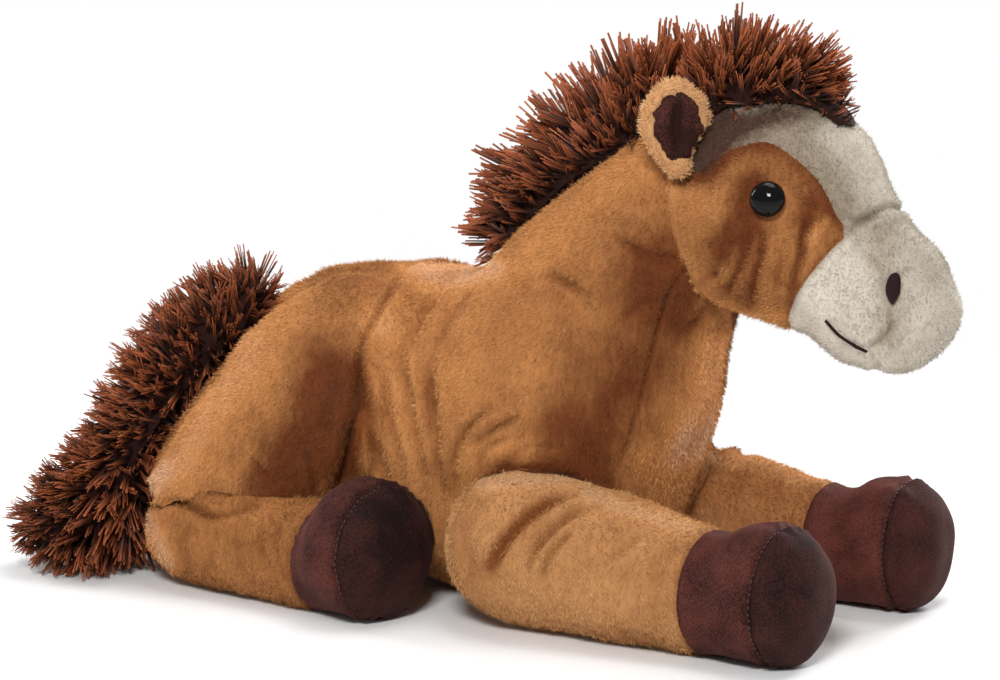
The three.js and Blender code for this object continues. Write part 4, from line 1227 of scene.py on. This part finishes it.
# The tail hangs from the dock, with its root under the rump, and fans out on the floor.
tail_fan_height = 62
tail_floor_height = 22
root_lowered = 24
backing_drawn_in, root_drawn_in = 9, 5
fan_shift = 7
tail_lock, fan_lock = 15, 14
# Columns of the photograph: the tail's outer fringe, and its root under the rump.
fringe_start, fringe_end = 60, 120
rump_edge, root_end = 255, 280
tail_skin = Skin(sewn_form("tail_shag", ["tail"], *backing_form))
height = tail_skin.points[:, 2] / mm
across = tail_skin.pixels[:, 0]
axis_there = tail_skin.points[np.abs(height - tail_fan_height) < 8].mean(0)
high_ways = away_from(tail_skin.points, np.array((-110, -40, 90)) * mm)
low_ways = tail_skin.points - axis_there
low_ways /= lengths(low_ways)[:, None]
under_rump = ramp(across, rump_edge, root_end)
tail_skin.move(-backing_drawn_in - root_drawn_in * ramp(height, 130, 155))
tail_skin.bare(under_rump * 3 - 2)
tail_skin.points[:, 2] -= root_lowered * mm * under_rump
low_part = ramp(height, tail_fan_height, tail_floor_height)
near_body = (across - fringe_start) / (fringe_end - fringe_start)
tail_skin.points += np.outer(low_part * np.clip(near_body, -0.5, 1), rightward) * fan_shift * mm
tail_long = tail_lock + fan_lock * low_part * np.clip(near_body, -0.3, 1)
tail_skin.shade -= 0.1 * low_part
tail_ways = high_ways + (low_ways - high_ways) * ramp(height, 100, 55)[:, None]
grow_locks(tail_skin, "tail", "tail", tail_ways, 0.6, tail_long, 2.9 * mm, 320)

for tuft in plush_tufts + face_tufts + locks:
    bpy.data.objects.remove(tuft)


# Studio: a pale floor that runs out into a white backdrop, and soft lamps: one beside the
# camera, one overhead, and two behind the horse that light the edges of its pile.
floor_shape = bmesh.new()
bmesh.ops.create_grid(floor_shape, x_segments=1, y_segments=1, size=30)
floor = new_piece("floor", floor_shape)
floor_cloth = Cloth("floor", Roughness=0.9)
floor_cloth.colour((0.92, 0.92, 0.92))
glow = floor_cloth.add("ShaderNodeEmission", {}, {"Color": (1, 1, 1, 1), "Strength": 1.0})
far = floor_cloth.add("ShaderNodeVectorMath", {"operation": "LENGTH"}, {0: floor_cloth.place}, "Value")
plain = Wire(floor_cloth, floor_cloth.shader.outputs[0])
both = floor_cloth.add("ShaderNodeMixShader", {}, {0: floor_cloth.steps(far, 0.25, 1.0), 1: plain, 2: glow})
floor_cloth.put(floor_cloth.tree.nodes["Material Output"].inputs[0], both)
floor.data.materials.append(floor_cloth.material)

world = bpy.data.worlds.new("studio")
bpy.context.scene.world = world
world.use_nodes = True
sky = Graph(world.node_tree)
seen = sky.add("ShaderNodeLightPath", output="Is Camera Ray")
background = world.node_tree.nodes["Background"]
background.inputs["Color"].default_value = (1, 1, 1, 1)
sky.put(background.inputs["Strength"], seen * 0.7 + 0.3)


def lamp(name, right, ahead, up, size, power):
    """A soft lamp that faces the horse; its place is in metres as the camera sees it."""
    light = bpy.data.lights.new(name, "AREA")
    light.shape = "RECTANGLE"
    light.size, light.size_y = size
    light.energy = power
    stand = bpy.data.objects.new(name, light)
    bpy.context.collection.objects.link(stand)
    level = Vector((sight.x, sight.y, 0)).normalized()
    face(stand, camera_aim + rightward * right + level * ahead + Vector((0, 0, up)), camera_aim)


lamp("front", -0.2, -1.6, 1.0, (0.45, 0.35), 26)
lamp("above", 0.2, 0.1, 1.6, (1.2, 0.8), 11)
lamp("back left", -1.4, 0.8, 0.8, (0.7, 0.7), 12)
lamp("back right", 1.2, 1.1, 0.8, (0.7, 0.7), 28)

bpy.context.scene.view_settings.view_transform = "Standard"
